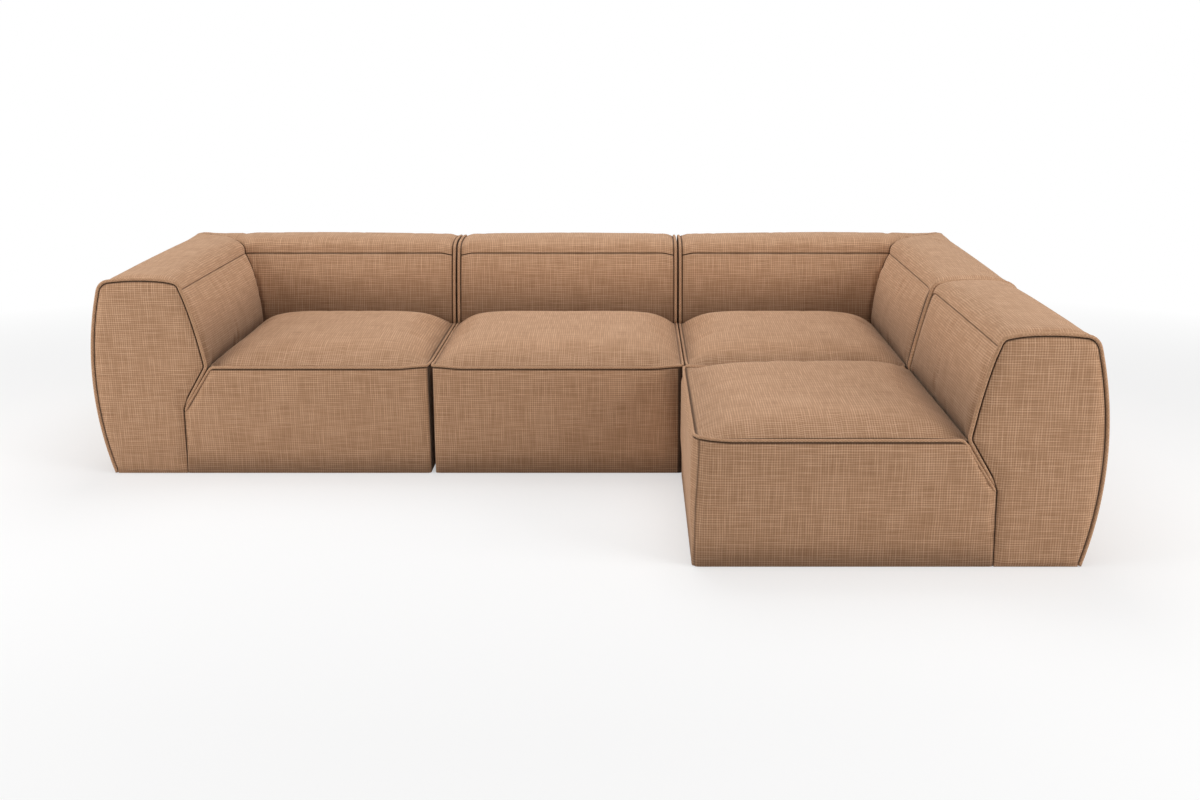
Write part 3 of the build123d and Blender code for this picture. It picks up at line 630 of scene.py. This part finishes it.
    def seat_left(self, height):
        """Where the seat's cover starts at a height: its own side, or the seam along an arm, with
        room for two pipings above the notch."""
        if not self.has_arm:
            return self.side_inset(self.near_end)
        up = min(height - NOTCH_HEIGHT, NOSE_HEIGHT - NOTCH_HEIGHT)
        room = NOTCH_ROOM * (1 + up / (NOSE_HEIGHT - NOTCH_HEIGHT)) / 2
        return seam_line(height) + min(max(up / 2, SEAM_GAP), room)

    def edge_height(self, x, y):
        """Height of the piped edge, climbing to the free corners."""
        edge = FACE_INSET + PANEL_EDGE
        climb = ease(self.width - edge - x, EAR_LENGTH)
        if not self.has_arm:
            climb = max(climb, ease(x - edge, EAR_LENGTH))
        return SEAT_EDGE + EAR_RISE * climb * ease(y - self.front - edge, EAR_LENGTH)

    def tucked(self, point):
        """A point of the seat's cover, drawn in near a free upper corner."""
        drop = ease(min(0.0, point.z - SEAT_EDGE), EAR_TUCK_DROP)
        tuck = drop * ease(point.y - self.front, EAR_TUCK_LENGTH)
        inwards = -EAR_TUCK[self.right_end] * ease(self.width - point.x, EAR_TUCK_LENGTH)
        if not self.has_arm:
            inwards += EAR_TUCK[self.near_end] * ease(point.x, EAR_TUCK_LENGTH)
        return point + Vector((inwards, abs(inwards), 0)) * tuck

    def seat(self, mesh):
        """Adds the crowned top, the front panel and the side panels of a seat."""
        edge_in = FACE_INSET + PANEL_EDGE
        front, rear = self.front + edge_in, UNIT_DEPTH - seam_line(SEAT_EDGE)
        left, right = self.seat_left(SEAT_EDGE), self.width - self.side_inset(self.right_end)
        xs, ys = spread(left, right), spread(front, rear)
        inside = Vector(((left + right) / 2, (front + rear) / 2, HEM))
        sides = {right: self.right_end}
        if not self.has_arm:
            sides[left] = self.near_end

        def shade(kinds, x, strength, reach):
            """Shade at x beside the sides where the unit ends in one of those ways."""
            near = [side for side in sides if sides[side] in kinds]
            return max([strength * ease(x - side, reach) for side in near], default=0.0)

        def top(x, y):
            crown = rise(x - left, SIDE_RISE) * rise(right - x, SIDE_RISE)
            crown *= rise(y - front, FRONT_RISE) * rise(rear - y, SIDE_RISE)
            piped, pressed = min(y - front, right - x), rear - y
            if self.has_arm:
                pressed = min(pressed, x - left)
            else:
                piped = min(piped, x - left)
            # Painted shade: darker beside the piping, where the seat presses against a bolster,
            # beside another unit, along free edges and behind the return
            shading = SEAT_CREASE_SHADE * crease(piped, *SEAT_CREASE)
            shading = max(shading, HOLLOW_SHADE * ease(pressed, SEAT_HOLLOW_REACH))
            shading = max(shading, shade(("joined",), x, EDGE_SHADE, EDGE_REACH))
            shading = max(shading, shade(("free",), x, FRONT_SHADE, FRONT_REACH))
            if self.return_at == "front":
                shading = max(shading, JOINT_SHADE * ease(y - front, JOINT_REACH))
            else:
                shading = max(shading, FRONT_SHADE * ease(y - front, FRONT_REACH))
            z = self.edge_height(x, y) + self.crown * crown
            under_arm = 0.0
            if self.has_arm:
                under_arm = ease(x - left, EAR_LENGTH) * (1 - ease(y - front, NOTCH_TAPER))
            return self.tucked(Vector((x - NOTCH_ROOM * under_arm, y, z))), (x, y), shading

        patch(mesh, [[top(x, y) for x in xs] for y in ys], inside)

        levels = [step / SEAT_EDGE for step in EDGE_STEPS]
        count = round((SEAT_EDGE - HEM) / GRID)
        even = [i / count for i in range(count + 1) if levels[-1] < i / count < 1 - levels[-1]]
        levels = [0.0] + even + [1 - level for level in reversed(levels)]

        def drawn(piped, start, end):
            """Distance in from the unit's outline and strength of the painted shade in a seam, from
            the distances to the piped edge and to the seams at both sides."""
            full = roll(piped, PANEL_ROLL) * roll(start, PANEL_ROLL) * roll(end, PANEL_ROLL)
            upright = SIDE_SEAM_SHADE * ease(min(start, end), SIDE_SEAM_WIDTH)
            shading = max(crease(piped, *PANEL_CREASE), upright)
            return (PANEL_BULGE + PANEL_EDGE) * (1 - full) + FACE_INSET - PANEL_BULGE, shading

        def front_point(share, level):
            edge = self.edge_height(left + (right - left) * share, front)
            z = HEM + (edge - HEM) * level
            start = self.seat_left(z)
            x = start + (right - start) * share
            inset, shading = drawn(edge - z, x - start, right - x)
            if self.has_arm and z > NOTCH_HEIGHT:
                shading = max(shading, crease(x - start, *PANEL_CREASE))
            # Painted shade towards the floor, and in the corner and the gap beside the return
            shading = max(shading, near_floor(z))
            if self.return_at == "right":
                shading = max(shading, JOINT_SHADE * ease(right - x, JOINT_REACH))
                shading = max(shading, GAP_SHADE * crease(right - x, GAP_START, GAP_REACH))
            return self.tucked(Vector((x, self.front + inset, z))), (x, z), shading

        def side_point(side, share, level):
            edge = self.edge_height(side, front + (rear - front) * share)
            z = HEM + (edge - HEM) * level
            end = UNIT_DEPTH - seam_line(z)
            y = front + (end - front) * share
            inset, shading = drawn(edge - z, y - front, end - y)
            out = edge_in - inset
            # Painted shade towards the floor, and deep in the gap against another unit
            shading = max(shading, near_floor(z))
            if sides[side] != "free":
                out = 0.0
                in_gap = (1 - ease(y - front, GAP_START)) * ease(y - front, GAP_END)
                shading = max(shading, GAP_SHADE * max(in_gap, ease(edge - z, SEAT_GAP_RIM)))
            x = side - out if side == left else side + out
            return self.tucked(Vector((x, y, z))), (y, z), shading

        def turned(panel, inwards):
            """A panel with its lower edge turned in under the hem."""
            hem = [(p + inwards * HEM_TURN, cloth, shading) for p, cloth, shading in panel[0]]
            return [hem] + panel

        shares = [(x - left) / (right - left) for x in xs]
        panel = [[front_point(share, level) for share in shares] for level in levels]
        if self.has_arm:
            # The cloth tucked in beside the arm takes full painted shade
            tuck = Vector((0, HEM_TURN, 0))
            panel = [[(row[0][0] + tuck, row[0][1], 1.0)] + row for row in panel]
        patch(mesh, turned(panel, Vector((0, 1, 0))), inside)
        shares = [(y - front) / (rear - front) for y in ys]
        for side in [right] if self.has_arm else [right, left]:
            panel = [[side_point(side, share, level) for share in shares] for level in levels]
            patch(mesh, turned(panel, Vector((1 if side == left else -1, 0, 0))), inside)

    # Piping

    def seat_piping(self):
        """Line of the piping along the seat's edges, down both notches."""
        left = FACE_INSET + PANEL_EDGE - SEAT_PIPING_OUT
        front, right = self.front + left, self.width - left
        rear = UNIT_DEPTH - NOSE_IN - NOTCH_ROOM
        notch = NOTCH + Vector((NOTCH_ROOM / 2, NOTCH_PIPING_UP))
        deep = HEM_TURN  # both ends dive into the seam below the notch
        edge = SEAT_EDGE + SEAT_PIPING_UP

        def side_run(x, inwards):
            return [
                Vector((x + inwards * deep, UNIT_DEPTH - notch.x, notch.y - PIPING_DIVE)),
                Vector((x, UNIT_DEPTH - notch.x, notch.y)),
                Vector((x, rear, edge)),
            ]

        corners = side_run(right, -1) + [Vector((right, front, edge))]
        if self.has_arm:
            corners += [
                Vector((NOSE_IN + NOTCH_ROOM, front, edge)),
                Vector((notch.x, front, notch.y)),
                Vector((notch.x, front + deep, notch.y - PIPING_DIVE)),
            ]
        else:
            corners += [Vector((left, front, edge))] + side_run(left, 1)[::-1]
        line = []
        for point in rounded(corners, PIPING_BEND, PIPING_STEP):
            point.z += self.edge_height(point.x, point.y) - SEAT_EDGE
            line.append(self.tucked(point))
        return line

    def end_piping(self, place, along, inwards, end):
        """Line of the piping round an open end of a back or arm."""
        count = round(OUTLINE_LENGTH / PIPING_STEP)
        inset = END_DRAW - PIPING_RADIUS
        line = []
        for i in range(count + 1):
            at, normal = filled_outline(OUTLINE_LENGTH * i / count, END_FULLNESS[end])
            sunk = inwards * END_PIPING_SINK * ease((count - i) * PIPING_STEP, NOTCH_TAPER)
            line.append(place(along + sunk, at - normal * inset))
        return line

    def piping(self, mesh):
        tube(mesh, self.seat_piping(), SEAT_PIPING_RADIUS)
        at = self.width - END_PIPING_LINE
        tube(mesh, self.end_piping(self.on_back, at, -1, self.right_end), PIPING_RADIUS)
        place = self.on_arm if self.has_arm else self.on_back
        tube(mesh, self.end_piping(place, END_PIPING_LINE, 1, self.near_end), PIPING_RADIUS)

    def base_cloth(self, material):
        """Makes the cloth stapled under the base, which sags a little between the rails."""
        low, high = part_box(f"{self.name}_dust_cover")
        to_unit = self.place.inverted()
        shares = [i / BASE_CLOTH_STEPS for i in range(BASE_CLOTH_STEPS + 1)]

        def point(u, v):
            sag = BASE_CLOTH_SAG * math.sin(math.pi * u) * math.sin(math.pi * v)
            x, y = low.x + (high.x - low.x) * u, low.y + (high.y - low.y) * v
            return to_unit @ Vector((x, y, high.z - BASE_CLOTH - sag)), (x, y), 0.0

        mesh = cover_mesh()
        above = to_unit @ ((low + high) / 2 + Vector((0, 0, 1)))
        patch(mesh, [[point(u, v) for u in shares] for v in shares], above)
        piece = self.piece("base_cloth", mesh, material, "dust_cloth", "dust_cover")
        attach(piece, self.name)
        thicken(piece, BASE_CLOTH)

    def dress(self, weave, bias):
        """Makes this unit's piping and covers, and gives back the covers."""
        mesh = cover_mesh()
        self.piping(mesh)
        piping = self.piece("edge_piping", mesh, bias, "piping", "piping")
        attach(piping, self.name)
        mesh = cover_mesh()
        self.seat(mesh)
        covers = [self.cover("seat", mesh, weave, SEAT_FILL, "seat_cover", "seat_foam")]
        mesh = cover_mesh()
        left_end = "mitre" if self.has_arm else self.near_end
        self.bolster(mesh, self.on_back, self.width, left_end, self.right_end)
        covers.append(self.cover("back", mesh, weave, BOLSTER_FILL, "back_cover", "back_foam"))
        if self.has_arm:
            mesh = cover_mesh()
            self.bolster(mesh, self.on_arm, UNIT_DEPTH, self.near_end, "mitre")
            covers.append(self.cover("arm", mesh, weave, BOLSTER_FILL, "arm_cover", "arm_foam"))
        return covers


def slack(piece):
    """How freely each point of a cover moves: 0 where stitching holds it, in a seam, on the hem or
    on an open edge, and 1 a few rows of points away."""
    mesh = bmesh.new()
    mesh.from_mesh(piece.data)
    mesh.verts.ensure_lookup_table()
    painted_shade = mesh.verts.layers.float["painted_shade"]
    free = [1.0] * len(mesh.verts)
    row = set()
    for vert in mesh.verts:
        if vert[painted_shade] > HELD_FROM or vert.co.z < HEM + HEM_MARGIN or vert.is_boundary:
            row.add(vert.index)
    for count in range(SLACK_ROWS):
        for i in row:
            free[i] = count / SLACK_ROWS
        edges = [(mesh.verts[i], edge) for i in row for edge in mesh.verts[i].link_edges]
        beside = {edge.other_vert(vert).index for vert, edge in edges}
        row = {i for i in beside if free[i] == 1.0}
    mesh.free()
    return free


def pad_out(covers):
    """Lets the padding press each cover out between its seams: a short cloth simulation."""
    slacks = []
    for piece in covers:
        slacks.append(slack(piece))
        held = [i for i, free in enumerate(slacks[-1]) if free == 0.0]
        piece.vertex_groups.new(name="stitched").add(held, 1.0, "REPLACE")
        cloth = piece.modifiers.new("padding", "CLOTH")
        cloth.point_cache.frame_end = LAST_STEP
        cloth.collision_settings.use_collision = False
        settings = cloth.settings
        settings.vertex_group_mass = "stitched"
        settings.use_pressure = True
        settings.uniform_pressure_force = PRESSURE
        settings.shrink_min = -SPARE_CLOTH
        settings.effector_weights.gravity = 0.0
    for step in range(1, LAST_STEP + 1):
        bpy.context.scene.frame_set(step)
    graph = bpy.context.evaluated_depsgraph_get()
    for piece, free in zip(covers, slacks):
        moved = [point.co.copy() for point in piece.evaluated_get(graph).data.vertices]
        piece.modifiers.clear()
        piece.vertex_groups.clear()
        for point, to, share in zip(piece.data.vertices, moved, free):
            step = to - point.co
            point.co += step * share * min(1.0, MOST_MOVED / max(step.length, 1e-9))
    bpy.context.scene.frame_set(1)


def thicken(piece, thickness):
    """Gives a piece of cloth its thickness, inwards."""
    shell = piece.modifiers.new("cloth", "SOLIDIFY")
    shell.thickness = thickness
    shell.offset = -1.0
    apply(piece)


# Materials


def colour(code):
    """An sRGB hex value as linear light."""
    parts = [int(code[i : i + 2], 16) / 255 for i in (1, 3, 5)]
    return (*[c / 12.92 if c <= 0.04045 else ((c + 0.055) / 1.055) ** 2.4 for c in parts], 1.0)


def material(name):
    """An empty material with its shader."""
    made = bpy.data.materials.new(name)
    made.use_nodes = True
    return made, made.node_tree, made.node_tree.nodes["Principled BSDF"]


def add(tree, kind, inputs=(), **settings):
    """Adds a node with its settings. inputs maps a socket's name or number to a value, to another
    node's output, or to a node, which stands for its first output."""
    made = tree.nodes.new(kind)
    for key, value in settings.items():
        setattr(made, key, value)
    for key, value in dict(inputs).items():
        if isinstance(value, bpy.types.Node):
            value = value.outputs[0]
        if isinstance(value, bpy.types.NodeSocket):
            tree.links.new(value, made.inputs[key])
        else:
            made.inputs[key].default_value = value
    return made


def finish(shader, **values):
    """Sets a shader's plain values."""
    for name, value in values.items():
        shader.inputs[name.replace("_", " ")].default_value = value


def woven(name, contrast, turn=0.0):
    """Slubby chenille weave: an even grid of threads, thick and thin along their length, some
    lighter and some darker, with a soft matt pile and shade in the seams."""
    made, tree, shader = material(name)
    thread, slub, patchy = 0.0066, 0.080, 0.120  # pitch, and lengths of slubs and of clouds
    slub_width = 0.55 * thread
    slub_weight, cloud_weight = 0.55, 0.15
    mean, spread_out = 0.625, 0.8 / contrast  # of the tones added up
    deepest = 0.92  # share of shade in a seam
    cloth = add(tree, "ShaderNodeUVMap", uv_map="cloth")
    cloth = add(tree, "ShaderNodeMapping", {"Vector": cloth, "Rotation": (0, 0, turn)})
    tones = []
    for direction, across, along in (("X", 0, 1), ("Y", 1, 0)):
        lines = {"Vector": cloth, "Scale": math.pi / 10 / thread, "Distortion": 1.6, "Detail": 1.0}
        lines["Detail Scale"] = 0.35
        threads = add(tree, "ShaderNodeTexWave", lines, bands_direction=direction).outputs["Fac"]
        scale = [1.0, 1.0, 1.0]
        scale[across], scale[along] = 1 / slub_width, 1 / slub
        stretched = add(tree, "ShaderNodeMapping", {"Vector": cloth, "Scale": scale})
        noise = {"Vector": stretched, "Scale": 1.0, "Detail": 0.0}
        slubs = add(tree, "ShaderNodeTexNoise", noise, noise_dimensions="2D").outputs["Fac"]
        sway = {"Value": slubs, "From Min": 0.3, "From Max": 0.7, "To Min": 0.2, "To Max": 0.8}
        strength = add(tree, "ShaderNodeMapRange", sway)
        centred = add(tree, "ShaderNodeMath", {0: threads, 1: 0.5}, operation="SUBTRACT")
        even = add(tree, "ShaderNodeMath", {0: centred, 1: strength}, operation="MULTIPLY")
        uneven = {0: slubs, 1: slub_weight, 2: even}
        tones.append(add(tree, "ShaderNodeMath", uneven, operation="MULTIPLY_ADD"))
    noise = {"Vector": cloth, "Scale": 1 / patchy, "Detail": 2.0}
    clouds = add(tree, "ShaderNodeTexNoise", noise, noise_dimensions="2D").outputs["Fac"]
    grid = add(tree, "ShaderNodeMath", {0: tones[0], 1: tones[1]})
    clouded = {0: clouds, 1: cloud_weight, 2: grid}
    tone = add(tree, "ShaderNodeMath", clouded, operation="MULTIPLY_ADD")
    limits = {"Value": tone, "From Min": mean - spread_out, "From Max": mean + spread_out}
    toned = add(tree, "ShaderNodeMapRange", limits)
    ramp = add(tree, "ShaderNodeValToRGB", {"Fac": toned})
    stops = ramp.color_ramp.elements
    stops[0].position, stops[0].color = 0.1, colour("#8A6549")
    stops[1].position, stops[1].color = 0.9, colour("#D2AA8B")
    stops.new(0.5).color = colour("#B58D6D")
    # Painted shade: the colour is mixed towards a near-black brown by each point's painted shade
    # value
    seams = add(tree, "ShaderNodeAttribute", attribute_name="painted_shade").outputs["Fac"]
    shade = add(tree, "ShaderNodeMath", {0: seams, 1: deepest}, operation="MULTIPLY")
    mixed = {0: shade, 6: ramp, 7: colour("#22150D")}
    shaded = add(tree, "ShaderNodeMix", mixed, data_type="RGBA").outputs[2]
    tree.links.new(shaded, shader.inputs["Base Color"])
    bump = add(tree, "ShaderNodeBump", {"Height": grid, "Strength": 0.3, "Distance": 0.0012})
    tree.links.new(bump.outputs["Normal"], shader.inputs["Normal"])
    finish(shader, Roughness=0.95, Specular_IOR_Level=0.2, Sheen_Weight=0.3, Sheen_Roughness=0.5)
    finish(shader, Sheen_Tint=colour("#DCC0A8"))
    return made


def mottled(name, dark, light, grain, bump, **values):
    """A finish that varies over a grain: its colour between two, its roughness and its surface.
    grain holds the sizes along x, y and z."""
    made, tree, shader = material(name)
    place = add(tree, "ShaderNodeTexCoord").outputs["Object"]
    scale = [1 / size for size in grain]
    place = add(tree, "ShaderNodeMapping", {"Vector": place, "Scale": scale})
    noise = {"Vector": place, "Scale": 1.0, "Detail": 3.0}
    spots = add(tree, "ShaderNodeTexNoise", noise).outputs["Fac"]
    ramp = add(tree, "ShaderNodeValToRGB", {"Fac": spots})
    stops = ramp.color_ramp.elements
    stops[0].position, stops[0].color = 0.35, colour(dark)
    stops[1].position, stops[1].color = 0.65, colour(light)
    tree.links.new(ramp.outputs["Color"], shader.inputs["Base Color"])
    rough = values.pop("Roughness")
    limits = {"Value": spots, "To Min": rough - 0.1, "To Max": rough + 0.1}
    varied = add(tree, "ShaderNodeMapRange", limits)
    tree.links.new(varied.outputs[0], shader.inputs["Roughness"])
    raised = add(tree, "ShaderNodeBump", {"Height": spots, "Strength": 0.4, "Distance": bump})
    tree.links.new(raised.outputs["Normal"], shader.inputs["Normal"])
    finish(shader, **values)
    return made


def frame_finishes():
    """Finishes of the pieces inside and under a unit, by the end of their names."""
    # Planed softwood: pale, with darker late wood 5 mm apart and a dull surface
    pine = mottled("planed pine", "#B98F5C", "#D9B987", (0.4, 0.4, 0.005), 0.0004, Roughness=0.65)
    # Hard-drawn wire straight from the coiler: dark grey with a film of oil
    wire = mottled(
        "hard-drawn spring wire", "#4C4B4A", "#75736F", (0.02, 0.02, 0.02), 0.0001,
        Metallic=1.0, Roughness=0.38,
    )
    # Zinc plated strip: bright, slightly blue, with soft spangles
    zinc = mottled(
        "zinc plated strip", "#9AA0A6", "#C4C8CC", (0.006, 0.006, 0.006), 0.00005,
        Metallic=1.0, Roughness=0.32,
    )
    # Woven rubber and polypropylene: black, ribbed across, matt
    webbing = mottled(
        "elastic webbing", "#17171A", "#3A3836", (0.5, 0.5, 0.003), 0.0006, Roughness=0.85
    )
    # Spunbond cloth: black felted fibres, matt and slightly uneven
    spunbond = mottled(
        "black spunbond cloth", "#121212", "#2B2A2A", (0.003, 0.003, 0.003), 0.0003, Roughness=0.95
    )
    # Injection moulded polypropylene: black, spark eroded, a soft shine
    plastic = mottled(
        "moulded polypropylene", "#141414", "#1F1F1F", (0.0015, 0.0015, 0.0015), 0.0001,
        Roughness=0.45,
    )
    # Powder coated steel: black with fine orange peel
    coated = mottled(
        "black powder coated steel", "#1A1B1C", "#242526", (0.0025, 0.0025, 0.0025), 0.0001,
        Roughness=0.5,
    )
    return {
        "_frame": pine, "_springs": wire, "_clips": zinc, "_webbing": webbing,
        "_dust_cover": spunbond, "_glides": plastic, "_connectors": coated,
    }


# Stage

FLOOR_SIZE = 40.0
FLOOR_FADE = (0.22, 0.3, 1.0)  # one over the distances where the floor has turned white
FLOOR_NEAR, FLOOR_SHARE = 0.45, 0.55  # how soon it fades, and how much of it shows under the sofa
AMBIENT = 0.28
# Lamps: name, place, aim, size in metres and power in watts
LAMPS = (
    ("overhead", (0.2, -0.6, 4.2), (0.1, 0.1, 0.3), 4.5, 64.0),
    ("behind", (0.0, 2.2, 3.8), (0.0, 0.2, 0.3), 3.0, 62.0),
    ("left", (-4.2, -1.6, 1.6), (-0.6, 0.0, 0.3), 2.5, 94.0),
    ("right", (4.2, -2.4, 1.6), (0.6, -0.4, 0.3), 2.5, 104.0),
)
SENSOR, LENS, LENS_SHIFT = 36.0, 41.16, -0.02657
CAMERA_AT = (0.2334, -4.3002, 1.3516)
CAMERA_DOWN = 14.888  # degrees below level


def seen_directly(tree):
    """1 on what the camera sees, straight, mirrored or through glass, and 0 for light thrown on."""
    path = add(tree, "ShaderNodeLightPath").outputs
    seen = add(tree, "ShaderNodeMath", {0: path["Is Camera Ray"], 1: path["Is Glossy Ray"]})
    either = {0: seen, 1: path["Is Transmission Ray"]}
    return add(tree, "ShaderNodeMath", either, use_clamp=True)


def stage():
    """Pale floor, soft studio light and the camera."""
    bpy.ops.mesh.primitive_plane_add(size=FLOOR_SIZE)
    floor = bpy.context.object
    floor.name = "studio_floor"
    # The floor takes the sofa's shadow, and further out it fades into the white background.
    # What is seen of it is pale, and the light it throws back is that of a light grey floor
    made, tree, shader = material("pale studio floor")
    finish(shader, Base_Color=colour("#F4F4F4"), Roughness=0.9)
    seen = seen_directly(tree)
    spot = add(tree, "ShaderNodeTexCoord").outputs["Object"]
    spot = add(tree, "ShaderNodeMapping", {"Vector": spot, "Scale": FLOOR_FADE})
    near = add(tree, "ShaderNodeTexGradient", {"Vector": spot}, gradient_type="SPHERICAL")
    fade = {"Value": near.outputs["Fac"], "From Max": FLOOR_NEAR, "To Max": FLOOR_SHARE}
    near = add(tree, "ShaderNodeMapRange", fade)
    white = add(tree, "ShaderNodeEmission", {"Color": (1, 1, 1, 1), "Strength": 1.0})
    grey = add(tree, "ShaderNodeBsdfDiffuse", {"Color": colour("#D6D4D2")})
    pale = add(tree, "ShaderNodeMixShader", {0: near, 1: white, 2: shader})
    shown = add(tree, "ShaderNodeMixShader", {0: seen, 1: grey, 2: pale})
    tree.links.new(shown.outputs[0], tree.nodes["Material Output"].inputs["Surface"])
    floor.data.materials.append(made)

    world = bpy.data.worlds.new("studio")
    world.use_nodes = True
    bpy.context.scene.world = world
    tree = world.node_tree
    seen = seen_directly(tree)
    level = add(tree, "ShaderNodeMapRange", {"Value": seen, "To Min": AMBIENT, "To Max": 1.0})
    background = tree.nodes["Background"]
    background.inputs["Color"].default_value = (1.0, 1.0, 1.0, 1.0)
    tree.links.new(level.outputs[0], background.inputs["Strength"])

    for name, spot, target, size, power in LAMPS:
        lamp = bpy.data.lights.new(name, "AREA")
        lamp.size, lamp.energy = size, power
        light = bpy.data.objects.new(name, lamp)
        light.location = spot
        light.rotation_euler = (Vector(target) - Vector(spot)).to_track_quat("-Z", "Y").to_euler()
        bpy.context.collection.objects.link(light)

    lens = bpy.data.cameras.new("view")
    lens.sensor_width, lens.lens, lens.shift_x = SENSOR, LENS, LENS_SHIFT
    camera = bpy.data.objects.new("view", lens)
    camera.location = CAMERA_AT
    camera.rotation_euler = (math.radians(90 - CAMERA_DOWN), 0, 0)
    bpy.context.collection.objects.link(camera)
    bpy.context.scene.camera = camera
    bpy.context.scene.view_settings.view_transform = "Standard"


MIRRORED = Matrix.Scale(-1, 4, (1, 0, 0))
UNITS = (
    Unit("left", True, Matrix.Translation((-HALF_UNIT - UNIT_DEPTH, FRONT_LINE, 0)), "free"),
    Unit(
        "middle",
        False,
        Matrix.Translation((-HALF_UNIT, FRONT_LINE, 0)),
        "joined",
        return_at="right",
    ),
    Unit(
        "corner",
        True,
        Matrix.Translation((HALF_UNIT + UNIT_DEPTH, FRONT_LINE, 0)) @ MIRRORED,
        "turned",
        return_at="front",
    ),
    Unit(
        "return",
        False,
        Matrix.Translation((HALF_UNIT, FRONT_LINE, 0)) @ Matrix.Rotation(-math.pi / 2, 4, "Z"),
        "turned",
        "free",
        front=RETURN_FRONT,
        crown=RETURN_CROWN,
    ),
)

weave = woven("camel chenille weave", 0.85)
bias = woven("camel weave cut on the bias", 0.5, math.pi / 4)
covers = [cover for unit in UNITS for cover in unit.dress(weave, bias)]
pad_out(covers)
for cover in covers:
    thicken(cover, CLOTH)
finishes = frame_finishes()
spunbond = finishes.pop("_dust_cover")
for unit in UNITS:
    unit.base_cloth(spunbond)
for ending, finished in finishes.items():
    for name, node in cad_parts.items():
        if name.endswith(ending):
            node.data.materials.clear()
            node.data.materials.append(finished)
stage()
